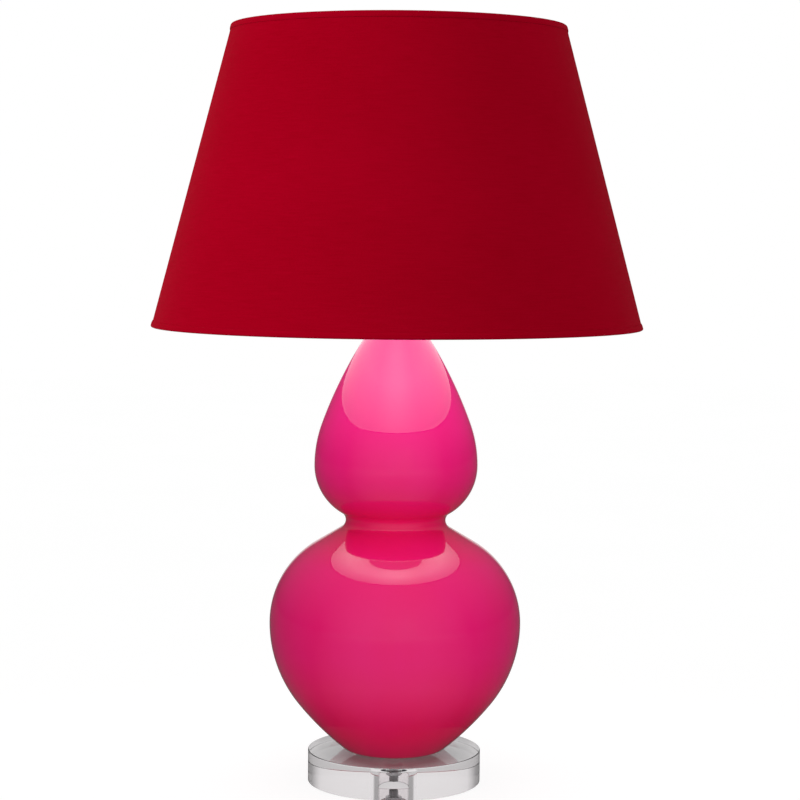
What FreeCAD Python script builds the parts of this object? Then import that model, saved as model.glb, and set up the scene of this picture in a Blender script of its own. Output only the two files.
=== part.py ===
import FreeCAD, Part

import math
import os

import Sketcher
from FreeCAD import Placement, Rotation, Vector

# Double gourd table lamp. Millimetres and degrees. The origin is the centre of the clear foot disc's
# underside, +Z is up, and -Y is the front, where the switch knob is. The cord bushing is at the back.

doc = FreeCAD.newDocument("double_gourd_lamp")
sheet = doc.addObject("Spreadsheet::Sheet", "Dims")

SIZES = {
    # clear foot disc
    "base_diameter": 172.0,
    "base_height": 31.75,
    "base_edge": 0.6,
    "counterbore_diameter": 31.0,
    "counterbore_depth": 16.0,
    # lamp pipe and its lower nut
    "pipe_diameter": 9.9,
    "pipe_bore": 6.5,
    "pipe_foot_height": 4.5,
    "pipe_clearance": 0.5,
    "thread_clearance": 0.08,
    "base_washer_diameter": 18.0,
    "base_washer_sheet": 1.2,
    "base_nut_flats": 14.3,
    "base_nut_height": 4.0,
    # ceramic body: radii where its side is upright, each one's rise above the last, and its arcs
    "foot_arc": 298.3,
    "belly_rise": 127.95,
    "belly_radius": 124.8,
    "belly_low_arc": 127.0,
    "belly_low_turn": 38.5,
    "shoulder_turn": 59.0,
    "waist_rise": 102.6,
    "waist_radius": 49.7,
    "waist_arc": 8.4,
    "lobe_rise": 54.5,
    "lobe_radius": 81.0,
    "lobe_high_arc": 123.0,
    "lobe_high_turn": 20.0,
    "mouth_rise": 145.2,
    "mouth_radius": 19.5,
    "gourd_wall": 6.0,
    "gourd_floor": 7.0,
    "gourd_pipe_hole": 12.5,
    # cord bushing, square to the body's lower wall
    "bushing_drop": 45.0,
    "bushing_seat_gap": 0.1,
    "bushing_diameter": 10.4,
    "bushing_bore": 7.2,
    "bushing_clearance": 0.2,
    "bushing_flange_diameter": 16.0,
    "bushing_flange_sheet": 2.4,
    "bushing_inside": 4.0,
    # vase cap and neck
    "vase_cap_diameter": 46.0,
    "vase_cap_skirt": 2.0,
    "vase_cap_seat": 4.0,
    "vase_cap_rise": 5.0,
    "vase_cap_sheet": 1.2,
    "vase_cap_gap": 0.3,
    "neck_diameter": 14.0,
    "neck_height": 18.0,
    "neck_clearance": 0.4,
    # harp saddle, harp and ferrules
    "saddle_width": 12.7,
    "saddle_sheet": 1.6,
    "saddle_reach": 30.0,
    "saddle_end": 4.6,
    "saddle_ear_width": 4.4,
    "saddle_ear_height": 12.0,
    "harp_wire": 3.6,
    "harp_height": 228.6,
    "harp_leg": 23.0,
    "harp_bend": 60.0,
    "harp_spread": 55.0,
    "harp_corner": 46.0,
    "harp_seat_gap": 0.3,
    "harp_lug_diameter": 11.0,
    "harp_lug_height": 5.0,
    "ferrule_diameter": 7.6,
    "ferrule_bore": 5.6,
    "ferrule_height": 18.0,
    "ferrule_seat_gap": 0.3,
    # swivel stud and finial
    "stud_pin": 4.0,
    "stud_pin_clearance": 0.08,
    "stud_head_diameter": 7.0,
    "stud_head_height": 1.2,
    "stud_play": 0.3,
    "stud_collar_diameter": 13.0,
    "stud_collar_height": 2.0,
    "stud_thread": 6.35,
    "stud_thread_height": 14.0,
    "finial_diameter": 17.0,
    "finial_neck": 9.6,
    "finial_foot_diameter": 13.0,
    "finial_foot_height": 3.0,
    "finial_height": 27.0,
    "finial_clearance": 0.1,
    "finial_bore_spare": 1.5,
    # socket
    "socket_hub_diameter": 15.5,
    "socket_hub_height": 9.0,
    "socket_cap_diameter": 38.0,
    "socket_cap_rise": 6.0,
    "socket_cap_skirt": 8.0,
    "socket_sheet": 0.8,
    "socket_fit_gap": 0.2,
    "socket_shell_height": 45.0,
    "socket_lip": 1.6,
    "insulator_sheet": 0.7,
    "interior_height": 22.0,
    "interior_boss_diameter": 12.0,
    "interior_boss_height": 1.6,
    "wire_way_diameter": 7.0,
    "wire_way_depth": 7.0,
    "screw_shell_bore": 26.8,
    "screw_shell_sheet": 0.5,
    "screw_shell_height": 22.0,
    "screw_shell_hole": 14.0,
    "centre_contact_diameter": 8.0,
    "centre_contact_sheet": 0.8,
    "terminal_screw_head": 6.0,
    "terminal_screw_head_height": 1.8,
    "terminal_screw_shank": 3.4,
    "terminal_screw_length": 7.0,
    "terminal_height": 7.5,
    "terminal_pocket": 9.0,
    "terminal_pocket_depth": 4.4,
    "set_screw_diameter": 3.0,
    "set_screw_length": 5.6,
    "set_screw_height": 4.0,
    "screw_clearance": 0.03,
    # rotary switch
    "switch_height": 12.5,
    "spindle_diameter": 4.0,
    "spindle_start": 6.0,
    "spindle_clearance": 0.08,
    "spindle_end_play": 0.5,
    "spindle_window": 6.4,
    "knob_start": 24.5,
    "knob_diameter": 10.4,
    "knob_length": 14.0,
    "knob_web": 3.0,
    "knob_clearance": 0.03,
    # bulb
    "bulb_tip_gap": 0.3,
    "bulb_tip_diameter": 8.6,
    "bulb_tip_height": 1.5,
    "bulb_insulator_top": 20.0,
    "bulb_insulator_height": 3.4,
    "bulb_cap_diameter": 26.0,
    "bulb_cap_height": 21.5,
    "bulb_cap_sheet": 0.6,
    "bulb_cap_taper": 2.2,
    "bulb_height": 112.0,
    "bulb_globe_diameter": 60.0,
    "bulb_neck_gap": 0.2,
    "bulb_neck_seat": 3.0,
    "bulb_glass": 0.8,
    "bulb_flare": 60.0,
    "bulb_mount_rim": 1.0,
    "bulb_mount_diameter": 9.0,
    "bulb_mount_flare": 10.0,
    "bulb_mount_height": 30.0,
    "bulb_mount_glass": 1.2,
    "filament_wire": 0.8,
    "filament_root": 2.4,
    "filament_seat_gap": 0.4,
    "filament_spread": 9.0,
    "filament_rise": 18.0,
    # shade
    "shade_height": 294.5,
    "spider_drop": 24.5,
    "shade_low_diameter": 482.6,
    "shade_top_diameter": 326.0,
    "fabric_sheet": 0.6,
    "bond_gap": 0.1,
    "liner_sheet": 0.8,
    "trim_sheet": 0.7,
    "trim_band": 6.0,
    "trim_leg": 4.0,
    "ring_wire": 2.6,
    "ring_gap": 0.2,
    "top_ring_drop": 1.2,
    "hub_diameter": 26.0,
    "hub_sheet": 2.0,
    "hub_hole": 8.0,
    "arm_wire": 3.2,
    "arm_weld_gap": 0.15,
    "arm_count": 3,
}

for row, (name, number) in enumerate(SIZES.items(), start=1):
    sheet.set(f"A{row}", name)
    sheet.set(f"B{row}", str(number))
    sheet.setAlias(f"B{row}", name)
doc.recompute()


class Size:
    """A number together with the sheet expression that gives it."""

    def __init__(self, number, text):
        self.number = float(number)
        self.text = text

    @staticmethod
    def of(item):
        return item if isinstance(item, Size) else Size(item, repr(item))

    def __add__(self, other):
        other = Size.of(other)
        return Size(self.number + other.number, f"({self.text} + {other.text})")

    def __sub__(self, other):
        other = Size.of(other)
        return Size(self.number - other.number, f"({self.text} - {other.text})")

    def __rsub__(self, other):
        return Size.of(other) - self

    def __mul__(self, other):
        other = Size.of(other)
        return Size(self.number * other.number, f"({self.text} * {other.text})")

    def __truediv__(self, other):
        other = Size.of(other)
        return Size(self.number / other.number, f"({self.text} / {other.text})")

    __radd__ = __add__
    __rmul__ = __mul__


def root(size):
    return Size(math.sqrt(size.number), f"sqrt({size.text})")


def cosine(size):
    return Size(math.cos(math.radians(size.number)), f"cos({size.text})")


def sine(size):
    return Size(math.sin(math.radians(size.number)), f"sin({size.text})")


def slope_angle(rise, run):
    """The angle of a rise over a positive run, in degrees."""
    return Size(math.degrees(math.atan2(rise.number, run.number)), f"(atan({rise.text} / {run.text}) / 1deg)")


def named(alias):
    return Size(sheet.get(alias), f"Dims.{alias}")


class Named:
    """Every size of the sheet, by its alias."""

    def __getattr__(self, alias):
        return named(alias)


d = Named()
NODES = []


def keep(piece, label):
    """List a finished piece under the label that names its file."""
    piece.Label = label
    NODES.append(piece)
    return piece


def new_body(name):
    body = doc.addObject("PartDesign::Body", name)
    body.AllowCompound = True
    return body


def origin_plane(body, role):
    return next(plane for plane in body.Origin.OriginFeatures if plane.Role == role)


def new_sketch(body, name, role="XZ_Plane"):
    sketch = body.newObject("Sketcher::SketchObject", name)
    sketch.AttachmentSupport = [(origin_plane(body, role), "")]
    sketch.MapMode = "FlatFace"
    return sketch


def bind(thing, path, size):
    """Give one property its expression, if it has one."""
    size = Size.of(size)
    if "Dims." in size.text:
        thing.setExpression(path, size.text)


def pin_point(sketch, edge, end, x, z):
    """Hold a sketch point at the sizes x and z."""
    for kind, axis, size in (("DistanceX", -2, x), ("DistanceY", -1, z)):
        size = Size.of(size)
        if abs(size.number) < 1e-9:
            sketch.addConstraint(Sketcher.Constraint("PointOnObject", edge, end, axis))
        else:
            row = sketch.addConstraint(Sketcher.Constraint(kind, -1, 1, edge, end, size.number))
            bind(sketch, f"Constraints[{row}]", size)


def arc_between(start, end, radius):
    """An arc from start to end; a positive radius bends to the left of the way, a negative to the right."""
    chord = end - start
    middle = (start + end) * 0.5
    left = Vector(-chord.y, chord.x, 0).normalize()
    reach = math.sqrt(max(radius * radius - chord.Length**2 / 4, 0.0))
    centre = middle + left * math.copysign(reach, radius)
    begin = math.atan2(start.y - centre.y, start.x - centre.x)
    finish = math.atan2(end.y - centre.y, end.x - centre.x)
    if radius < 0:
        begin, finish = finish, begin
    if finish < begin:
        finish += 2 * math.pi
    return Part.ArcOfCircle(Part.Circle(centre, Vector(0, 0, 1), abs(radius)), begin, finish)


def outline(sketch, points, closed=True):
    """Draw a line through points (x, z) or (x, z, radius), where the radius bends the edge to that point."""
    places = [Vector(Size.of(point[0]).number, Size.of(point[1]).number, 0) for point in points]
    edges = []
    for here in range(0 if closed else 1, len(points)):
        start, end = places[here - 1], places[here]
        if len(points[here]) == 2:
            edge = sketch.addGeometry(Part.LineSegment(start, end), False)
            edges.append((here, edge, 1, 2))
            continue
        bend = Size.of(points[here][2])
        edge = sketch.addGeometry(arc_between(start, end, bend.number), False)
        edges.append((here, edge, 1, 2) if bend.number > 0 else (here, edge, 2, 1))
        row = sketch.addConstraint(Sketcher.Constraint("Radius", edge, abs(bend.number)))
        bind(sketch, f"Constraints[{row}]", bend if bend.number > 0 else 0 - bend)
    for (here, edge, _, last), (_, after, first, _) in zip(edges, edges[1:] + edges[:1] * closed):
        sketch.addConstraint(Sketcher.Constraint("Coincident", edge, last, after, first))
    if not closed:
        pin_point(sketch, edges[0][1], edges[0][2], *points[0][:2])
    for here, edge, _, last in edges:
        pin_point(sketch, edge, last, *points[here][:2])


def round_wire(sketch, x, radius):
    """Draw a wire's round section, its centre at x on the sketch's own axis."""
    circle = sketch.addGeometry(Part.Circle(Vector(x.number, 0, 0), Vector(0, 0, 1), radius.number), False)
    row = sketch.addConstraint(Sketcher.Constraint("Radius", circle, radius.number))
    bind(sketch, f"Constraints[{row}]", radius)
    pin_point(sketch, circle, 3, x, 0)


def revolve(body, sketch, name):
    turn = body.newObject("PartDesign::Revolution", name)
    turn.Profile = sketch
    turn.ReferenceAxis = (sketch, ["V_Axis"])
    turn.Angle = 360
    body.Tip = turn
    return turn


def turned(label, points):
    """A piece turned on its own Z axis from an outline of (radius, height) points."""
    body = new_body(label)
    sketch = new_sketch(body, label + "_outline")
    outline(sketch, points)
    revolve(body, sketch, label + "_turned")
    return keep(body, label)


def tube_outline(inner, outer, low, high):
    return [(inner, low), (outer, low), (outer, high), (inner, high)]


def disc(label, radius, low, high):
    return turned(label, tube_outline(0, radius, low, high))


def bind_size(thing, name, size):
    setattr(thing, name, Size.of(size).number)
    bind(thing, name, size)


def add_cylinder(body, name, radius, length, kind="Additive", **place):
    """A round feature of a body, from its start along its own Z; the kind Subtractive makes it a hole."""
    feature = body.newObject(f"PartDesign::{kind}Cylinder", name)
    bind_size(feature, "Radius", radius)
    bind_size(feature, "Height", length)
    settle(feature, **place)
    body.Tip = feature
    return feature


def bore(body, name, radius, length, **place):
    return add_cylinder(body, name, radius, length, "Subtractive", **place)


def add_block(body, name, middle, lengths, kind="Additive"):
    """A block feature of a body, centred on middle in x and y and standing on middle in z."""
    feature = body.newObject(f"PartDesign::{kind}Box", name)
    for side, length in zip(("Length", "Width", "Height"), lengths):
        bind_size(feature, side, length)
    settle(feature, x=middle[0] - Size.of(lengths[0]) / 2, y=middle[1] - Size.of(lengths[1]) / 2, z=middle[2])
    body.Tip = feature
    return feature


def settle(thing, x=0.0, y=0.0, z=0.0, axis=(0, 0, 1), angle=0.0):
    """Place a thing: its position, and its turn about one axis."""
    sizes = [Size.of(item) for item in (x, y, z)]
    angle = Size.of(angle)
    position = Vector(*[size.number for size in sizes])
    thing.Placement = Placement(position, Rotation(Vector(*axis), angle.number))
    for letter, size in zip("xyz", sizes):
        bind(thing, f"Placement.Base.{letter}", size)
    bind(thing, "Placement.Rotation.Angle", angle)


# the turns that lay a piece's own Z axis along another direction
ALONG_X = {"axis": (0, 1, 0), "angle": 90.0}
ALONG_MINUS_Y = {"axis": (1, 0, 0), "angle": 90.0}


# ---------------------------------------------------------------- clear foot disc and its nut

ceiling = d.counterbore_depth
pipe_radius = d.pipe_diameter / 2
nut_bore = pipe_radius + d.thread_clearance
base_radius = d.base_diameter / 2
turned(
    "acrylic_base",
    [
        (d.counterbore_diameter / 2, 0),
        (base_radius - d.base_edge, 0),
        (base_radius, d.base_edge),
        (base_radius, d.base_height - d.base_edge),
        (base_radius - d.base_edge, d.base_height),
        (pipe_radius + d.pipe_clearance, d.base_height),
        (pipe_radius + d.pipe_clearance, ceiling),
        (d.counterbore_diameter / 2, ceiling),
    ],
)

washer_low = ceiling - d.base_washer_sheet
turned("base_washer", tube_outline(nut_bore, d.base_washer_diameter / 2, washer_low, ceiling))

nut = new_body("base_nut")
blank = nut.newObject("PartDesign::AdditivePrism", "base_nut_blank")
blank.Polygon = 6
bind_size(blank, "Circumradius", d.base_nut_flats / root(Size(3, "3")))
bind_size(blank, "Height", d.base_nut_height)
bore(nut, "base_nut_bore", nut_bore, d.base_nut_height)
settle(nut, z=washer_low - d.base_nut_height)
keep(nut, "base_nut")


# ---------------------------------------------------------------- ceramic body

belly_z = d.base_height + d.belly_rise
waist_z = belly_z + d.waist_rise
lobe_z = waist_z + d.lobe_rise
gourd_top = lobe_z + d.mouth_rise

# the lower belly arc runs into the foot arc without a corner: their centres are in line with their joint
low_cos, low_sin = cosine(d.belly_low_turn), sine(d.belly_low_turn)
belly_x = d.belly_radius - d.belly_low_arc
foot_x = belly_x - (d.foot_arc - d.belly_low_arc) * low_cos
foot_z = belly_z + (d.foot_arc - d.belly_low_arc) * low_sin

# the shoulder arc's radius is the one that lets a straight slope at its turn reach the waist arc
turn_cos, turn_sin = cosine(d.shoulder_turn), sine(d.shoulder_turn)
waist_inset = d.belly_radius - d.waist_radius
shoulder_arc = (d.waist_rise * turn_sin - waist_inset * turn_cos) / (1 - turn_cos) - d.waist_arc
shoulder_x = d.belly_radius - shoulder_arc
waist_x = d.waist_radius + d.waist_arc

# the upper lobe's lower arc is the one that touches the waist arc and is upright at the lobe's radius
lobe_out = d.lobe_radius - d.waist_radius
lobe_arc = (lobe_out * lobe_out + d.lobe_rise * d.lobe_rise) / (2 * lobe_out) - d.waist_arc
lobe_x = d.lobe_radius - lobe_arc
tie = lobe_arc + d.waist_arc
tie_x, tie_z = (waist_x - lobe_x) / tie, (waist_z - lobe_z) / tie

# the lobe's upper arc runs without a corner into the arc that reaches the mouth
high_x = d.lobe_radius - d.lobe_high_arc
high_cos, high_sin = cosine(d.lobe_high_turn), sine(d.lobe_high_turn)
back = high_x + d.lobe_high_arc * high_cos - d.mouth_radius
rise = d.mouth_rise - d.lobe_high_arc * high_sin
mouth_arc = (back * back + rise * rise) / (2 * (back * high_cos - rise * high_sin))
mouth_x = high_x - (mouth_arc - d.lobe_high_arc) * high_cos
mouth_z = lobe_z - (mouth_arc - d.lobe_high_arc) * high_sin


def gourd_side(floor, depth):
    """The body's side from floor to top, at a depth inside the glaze: every arc keeps its centre."""
    foot_in, low_in, shoulder_in = d.foot_arc - depth, d.belly_low_arc - depth, shoulder_arc - depth
    waist_in, lobe_in = d.waist_arc + depth, lobe_arc - depth
    high_in, mouth_in = d.lobe_high_arc - depth, mouth_arc - depth
    floor_drop, top_climb = foot_z - floor, gourd_top - mouth_z
    return [
        (foot_x + root(foot_in * foot_in - floor_drop * floor_drop), floor),
        (foot_x + foot_in * low_cos, foot_z - foot_in * low_sin, foot_in),
        (belly_x + low_in, belly_z, low_in),
        (shoulder_x + shoulder_in * turn_cos, belly_z + shoulder_in * turn_sin, shoulder_in),
        (waist_x - waist_in * turn_cos, waist_z - waist_in * turn_sin),
        (waist_x - waist_in, waist_z, 0 - waist_in),
        (waist_x - waist_in * tie_x, waist_z - waist_in * tie_z, 0 - waist_in),
        (lobe_x + lobe_in, lobe_z, lobe_in),
        (high_x + high_in * high_cos, lobe_z + high_in * high_sin, high_in),
        (mouth_x + root(mouth_in * mouth_in - top_climb * top_climb), gourd_top, mouth_in),
    ]


def reversed_side(points):
    """The same side walked the other way: each arc's bend moves to its other end and changes sign."""
    back = [points[-1][:2]]
    for here in range(len(points) - 1, 0, -1):
        bend = tuple(0 - Size.of(item) for item in points[here][2:])
        back.append(points[here - 1][:2] + bend)
    return back


gourd = new_body("gourd_body")
gourd_outline = new_sketch(gourd, "gourd_outline")
floor_top = d.base_height + d.gourd_floor
pipe_hole = d.gourd_pipe_hole / 2
outline(
    gourd_outline,
    [(pipe_hole, d.base_height)]
    + gourd_side(d.base_height, Size.of(0))
    + reversed_side(gourd_side(floor_top, d.gourd_wall))
    + [(pipe_hole, floor_top)],
)
revolve(gourd, gourd_outline, "gourd_turned")

# the cord leaves at the back, square to the wall, on the foot arc's own radius
bushing_place = {
    "y": foot_x + d.foot_arc * cosine(d.bushing_drop),
    "z": foot_z - d.foot_arc * sine(d.bushing_drop),
    "axis": (1, 0, 0),
    "angle": -90 - d.bushing_drop,
}
inside = d.gourd_wall + d.bushing_inside
hole = add_cylinder(
    gourd,
    "cord_hole",
    d.bushing_diameter / 2 + d.bushing_clearance,
    2 * inside,
    "Subtractive",
    **bushing_place,
)
hole_start = d.foot_arc - inside
bind(hole, "Placement.Base.y", foot_x + hole_start * cosine(d.bushing_drop))
bind(hole, "Placement.Base.z", foot_z - hole_start * sine(d.bushing_drop))
keep(gourd, "gourd_body")

flange_low = d.bushing_seat_gap
bushing = turned(
    "cord_bushing",
    [
        (d.bushing_bore / 2, 0 - inside),
        (d.bushing_diameter / 2, 0 - inside),
        (d.bushing_diameter / 2, flange_low),
        (d.bushing_flange_diameter / 2, flange_low),
        (d.bushing_flange_diameter / 2, flange_low + d.bushing_flange_sheet),
        (d.bushing_bore / 2, flange_low + d.bushing_flange_sheet),
    ],
)
settle(bushing, **bushing_place)


# ---------------------------------------------------------------- vase cap, neck, lamp pipe, saddle

mouth_lid = gourd_top + d.vase_cap_gap
neck_low = mouth_lid + d.vase_cap_sheet + d.vase_cap_rise
saddle_low = neck_low + d.neck_height
saddle_top = saddle_low + d.saddle_sheet
pipe_top = saddle_top + d.socket_hub_height
turned("lamp_pipe", tube_outline(d.pipe_bore / 2, pipe_radius, d.pipe_foot_height, pipe_top))

cap_radius = d.vase_cap_diameter / 2
seat_radius = d.mouth_radius - d.vase_cap_seat
neck_bore = pipe_radius + d.neck_clearance
turned(
    "vase_cap",
    [
        (cap_radius - d.vase_cap_sheet, mouth_lid - d.vase_cap_skirt),
        (cap_radius, mouth_lid - d.vase_cap_skirt),
        (cap_radius, mouth_lid + d.vase_cap_sheet),
        (seat_radius, mouth_lid + d.vase_cap_sheet),
        (d.neck_diameter / 2, neck_low),
        (neck_bore, neck_low),
        (neck_bore, neck_low - d.vase_cap_sheet),
        (d.neck_diameter / 2 - d.vase_cap_sheet / 2, neck_low - d.vase_cap_sheet),
        (seat_radius - d.vase_cap_sheet, mouth_lid),
        (cap_radius - d.vase_cap_sheet, mouth_lid),
    ],
)
turned("neck_tube", tube_outline(neck_bore, d.neck_diameter / 2, neck_low, saddle_low))

saddle = new_body("harp_saddle")
add_block(
    saddle,
    "saddle_strip",
    (Size.of(0), Size.of(0), saddle_low),
    (2 * (d.saddle_reach + d.saddle_end), d.saddle_width, d.saddle_sheet),
)
for side, sign in (("left", -1), ("right", 1)):
    add_block(
        saddle,
        f"saddle_ear_{side}",
        (sign * d.saddle_reach, Size.of(0), saddle_low),
        (d.saddle_sheet, d.saddle_ear_width, d.saddle_ear_height),
    )
bore(saddle, "saddle_hole", nut_bore, d.saddle_sheet, z=saddle_low)
keep(saddle, "harp_saddle")


# ---------------------------------------------------------------- harp, ferrules, swivel stud

leg_x = d.saddle_reach
leg_low = saddle_low + d.saddle_ear_height + d.harp_seat_gap
leg_high = leg_low + d.harp_leg
bow_low = leg_high + d.harp_bend
harp_top = saddle_top + d.harp_height
step = d.harp_spread - leg_x
bend_arc = (step * step + d.harp_bend * d.harp_bend) / (4 * step)
bend_x, bend_z = leg_x + step / 2, leg_high + d.harp_bend / 2
corner_x, corner_z = d.harp_spread - d.harp_corner, harp_top - d.harp_corner

harp = new_body("harp_bow")
bow = new_sketch(harp, "harp_path")
outline(
    bow,
    [
        (leg_x, leg_low),
        (leg_x, leg_high),
        (bend_x, bend_z, 0 - bend_arc),
        (d.harp_spread, bow_low, bend_arc),
        (d.harp_spread, corner_z),
        (corner_x, harp_top, d.harp_corner),
        (0 - corner_x, harp_top),
        (0 - d.harp_spread, corner_z, d.harp_corner),
        (0 - d.harp_spread, bow_low),
        (0 - bend_x, bend_z, bend_arc),
        (0 - leg_x, leg_high, 0 - bend_arc),
        (0 - leg_x, leg_low),
    ],
    closed=False,
)
wire = new_sketch(harp, "harp_wire_section", "XY_Plane")
bind(wire, "AttachmentOffset.Base.z", leg_low)
round_wire(wire, leg_x, d.harp_wire / 2)
sweep = harp.newObject("PartDesign::AdditivePipe", "harp_sweep")
sweep.Profile = wire
sweep.Spine = bow
harp.Tip = sweep
lug_low = harp_top - d.harp_lug_height / 2
lug_high = lug_low + d.harp_lug_height
add_cylinder(harp, "harp_lug", d.harp_lug_diameter / 2, d.harp_lug_height, z=lug_low)
bore(harp, "harp_pivot_hole", d.stud_pin / 2 + d.stud_pin_clearance, d.harp_lug_height, z=lug_low)
keep(harp, "harp_bow")

for side, sign in (("left", -1), ("right", 1)):
    ferrule = turned(
        f"ferrule_{side}",
        tube_outline(d.ferrule_bore / 2, d.ferrule_diameter / 2, 0, d.ferrule_height),
    )
    settle(ferrule, x=sign * leg_x, z=saddle_top + d.ferrule_seat_gap)

collar_low = lug_high + d.stud_play
hub_low = collar_low + d.stud_collar_height
stud_top = hub_low + d.stud_thread_height
head_high = lug_low - d.stud_play
turned(
    "harp_stud",
    [
        (0, head_high - d.stud_head_height),
        (d.stud_head_diameter / 2, head_high - d.stud_head_height),
        (d.stud_head_diameter / 2, head_high),
        (d.stud_pin / 2, head_high),
        (d.stud_pin / 2, collar_low),
        (d.stud_collar_diameter / 2, collar_low),
        (d.stud_collar_diameter / 2, hub_low),
        (d.stud_thread / 2, hub_low),
        (d.stud_thread / 2, stud_top),
        (0, stud_top),
    ],
)

hub_high = hub_low + d.hub_sheet
ball = d.finial_diameter / 2
finial_top = hub_high + d.finial_height
finial_bore = d.stud_thread / 2 + d.finial_clearance
bore_top = stud_top + d.finial_bore_spare
neck = d.finial_neck / 2
turned(
    "finial",
    [
        (finial_bore, hub_high),
        (d.finial_foot_diameter / 2, hub_high),
        (d.finial_foot_diameter / 2, hub_high + d.finial_foot_height),
        (neck, hub_high + d.finial_foot_height),
        (neck, finial_top - ball - root(ball * ball - neck * neck)),
        (0, finial_top, ball),
        (0, bore_top),
        (finial_bore, bore_top),
    ],
)


# ---------------------------------------------------------------- socket

hub_top = saddle_top + d.socket_hub_height
cap_outer = d.socket_cap_diameter / 2
cap_inner = cap_outer - d.socket_sheet
dome_high = hub_top + d.socket_cap_rise
socket_cap = turned(
    "socket_cap",
    [
        (nut_bore, saddle_top),
        (d.socket_hub_diameter / 2, saddle_top),
        (d.socket_hub_diameter / 2, hub_top - d.socket_sheet),
        (cap_outer, dome_high - d.socket_sheet),
        (cap_outer, dome_high + d.socket_cap_skirt),
        (cap_inner, dome_high + d.socket_cap_skirt),
        (cap_inner, dome_high),
        (d.socket_hub_diameter / 2, hub_top),
        (nut_bore, hub_top),
    ],
)
set_screw_z = saddle_top + d.set_screw_height
screw_hole = d.set_screw_diameter / 2 + d.screw_clearance
bore(socket_cap, "set_screw_hole", screw_hole, d.socket_hub_diameter / 2, z=set_screw_z, **ALONG_X)

set_screw = disc("set_screw", d.set_screw_diameter / 2, Size.of(0), d.set_screw_length)
settle(set_screw, x=nut_bore, z=set_screw_z, **ALONG_X)

shell_outer = cap_inner - d.socket_fit_gap
shell_inner = shell_outer - d.socket_sheet
shell_low = dome_high + d.socket_fit_gap
shell_high = shell_low + d.socket_shell_height
lip_inner = shell_inner - d.socket_lip
switch_z = shell_low + d.switch_height
socket_shell = turned(
    "socket_shell",
    [
        (shell_inner, shell_low),
        (shell_outer, shell_low),
        (shell_outer, shell_high),
        (lip_inner, shell_high),
        (lip_inner, shell_high - d.socket_sheet),
        (shell_inner, shell_high - d.socket_sheet),
    ],
)
window = d.spindle_window / 2
bore(socket_shell, "spindle_window_shell", window, cap_outer, z=switch_z, **ALONG_MINUS_Y)

sleeve_outer = shell_inner - d.socket_fit_gap
sleeve_inner = sleeve_outer - d.insulator_sheet
sleeve_high = shell_high - d.socket_sheet - d.socket_fit_gap
insulator = turned("socket_insulator", tube_outline(sleeve_inner, sleeve_outer, shell_low, sleeve_high))
bore(insulator, "spindle_window_sleeve", window, cap_outer, z=switch_z, **ALONG_MINUS_Y)

interior_radius = sleeve_inner - d.socket_fit_gap
interior_top = shell_low + d.interior_height
boss_top = interior_top + d.interior_boss_height
interior = turned(
    "socket_interior",
    [
        (d.wire_way_diameter / 2, shell_low),
        (interior_radius, shell_low),
        (interior_radius, interior_top),
        (d.interior_boss_diameter / 2, interior_top),
        (d.interior_boss_diameter / 2, boss_top),
        (0, boss_top),
        (0, shell_low + d.wire_way_depth),
        (d.wire_way_diameter / 2, shell_low + d.wire_way_depth),
    ],
)
spindle_hole = d.spindle_diameter / 2 + d.spindle_clearance
bore(
    interior,
    "spindle_hole",
    spindle_hole,
    interior_radius,
    y=d.spindle_end_play - d.spindle_start,
    z=switch_z,
    **ALONG_MINUS_Y,
)
pocket_floor = interior_radius - d.terminal_pocket_depth
shank_hole = d.terminal_screw_shank / 2 + d.screw_clearance
terminal_z = shell_low + d.terminal_height
shank_start = pocket_floor - d.terminal_screw_length
for side, sign in (("left", -1), ("right", 1)):
    add_block(
        interior,
        f"terminal_pocket_{side}",
        (sign * (pocket_floor + d.terminal_pocket_depth), Size.of(0), terminal_z - d.terminal_pocket / 2),
        (2 * d.terminal_pocket_depth, d.terminal_pocket, d.terminal_pocket),
        "Subtractive",
    )
bore(interior, "terminal_holes", shank_hole, 2 * pocket_floor, x=0 - pocket_floor, z=terminal_z, **ALONG_X)

terminal_screws = doc.addObject("Part::Compound", "terminal_screws")
screw_halves = []
for side, sign, turn in (("left", -1, -90.0), ("right", 1, 90.0)):
    shank = doc.addObject("Part::Cylinder", f"terminal_shank_{side}")
    bind_size(shank, "Radius", d.terminal_screw_shank / 2)
    bind_size(shank, "Height", d.terminal_screw_length)
    settle(shank, x=sign * shank_start, z=terminal_z, axis=(0, 1, 0), angle=turn)
    head = doc.addObject("Part::Cylinder", f"terminal_head_{side}")
    bind_size(head, "Radius", d.terminal_screw_head / 2)
    bind_size(head, "Height", d.terminal_screw_head_height)
    settle(head, x=sign * pocket_floor, z=terminal_z, axis=(0, 1, 0), angle=turn)
    screw = doc.addObject("Part::Fuse", f"terminal_screw_{side}")
    screw.Base = shank
    screw.Tool = head
    screw_halves.append(screw)
terminal_screws.Links = screw_halves
keep(terminal_screws, "terminal_screws")

thread_inner = d.screw_shell_bore / 2
thread_outer = thread_inner + d.screw_shell_sheet
turned(
    "screw_shell",
    [
        (d.screw_shell_hole / 2, interior_top),
        (thread_outer, interior_top),
        (thread_outer, interior_top + d.screw_shell_height),
        (thread_inner, interior_top + d.screw_shell_height),
        (thread_inner, interior_top + d.screw_shell_sheet),
        (d.screw_shell_hole / 2, interior_top + d.screw_shell_sheet),
    ],
)

contact_top = boss_top + d.centre_contact_sheet
disc("centre_contact", d.centre_contact_diameter / 2, boss_top, contact_top)


# ---------------------------------------------------------------- rotary switch

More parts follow.
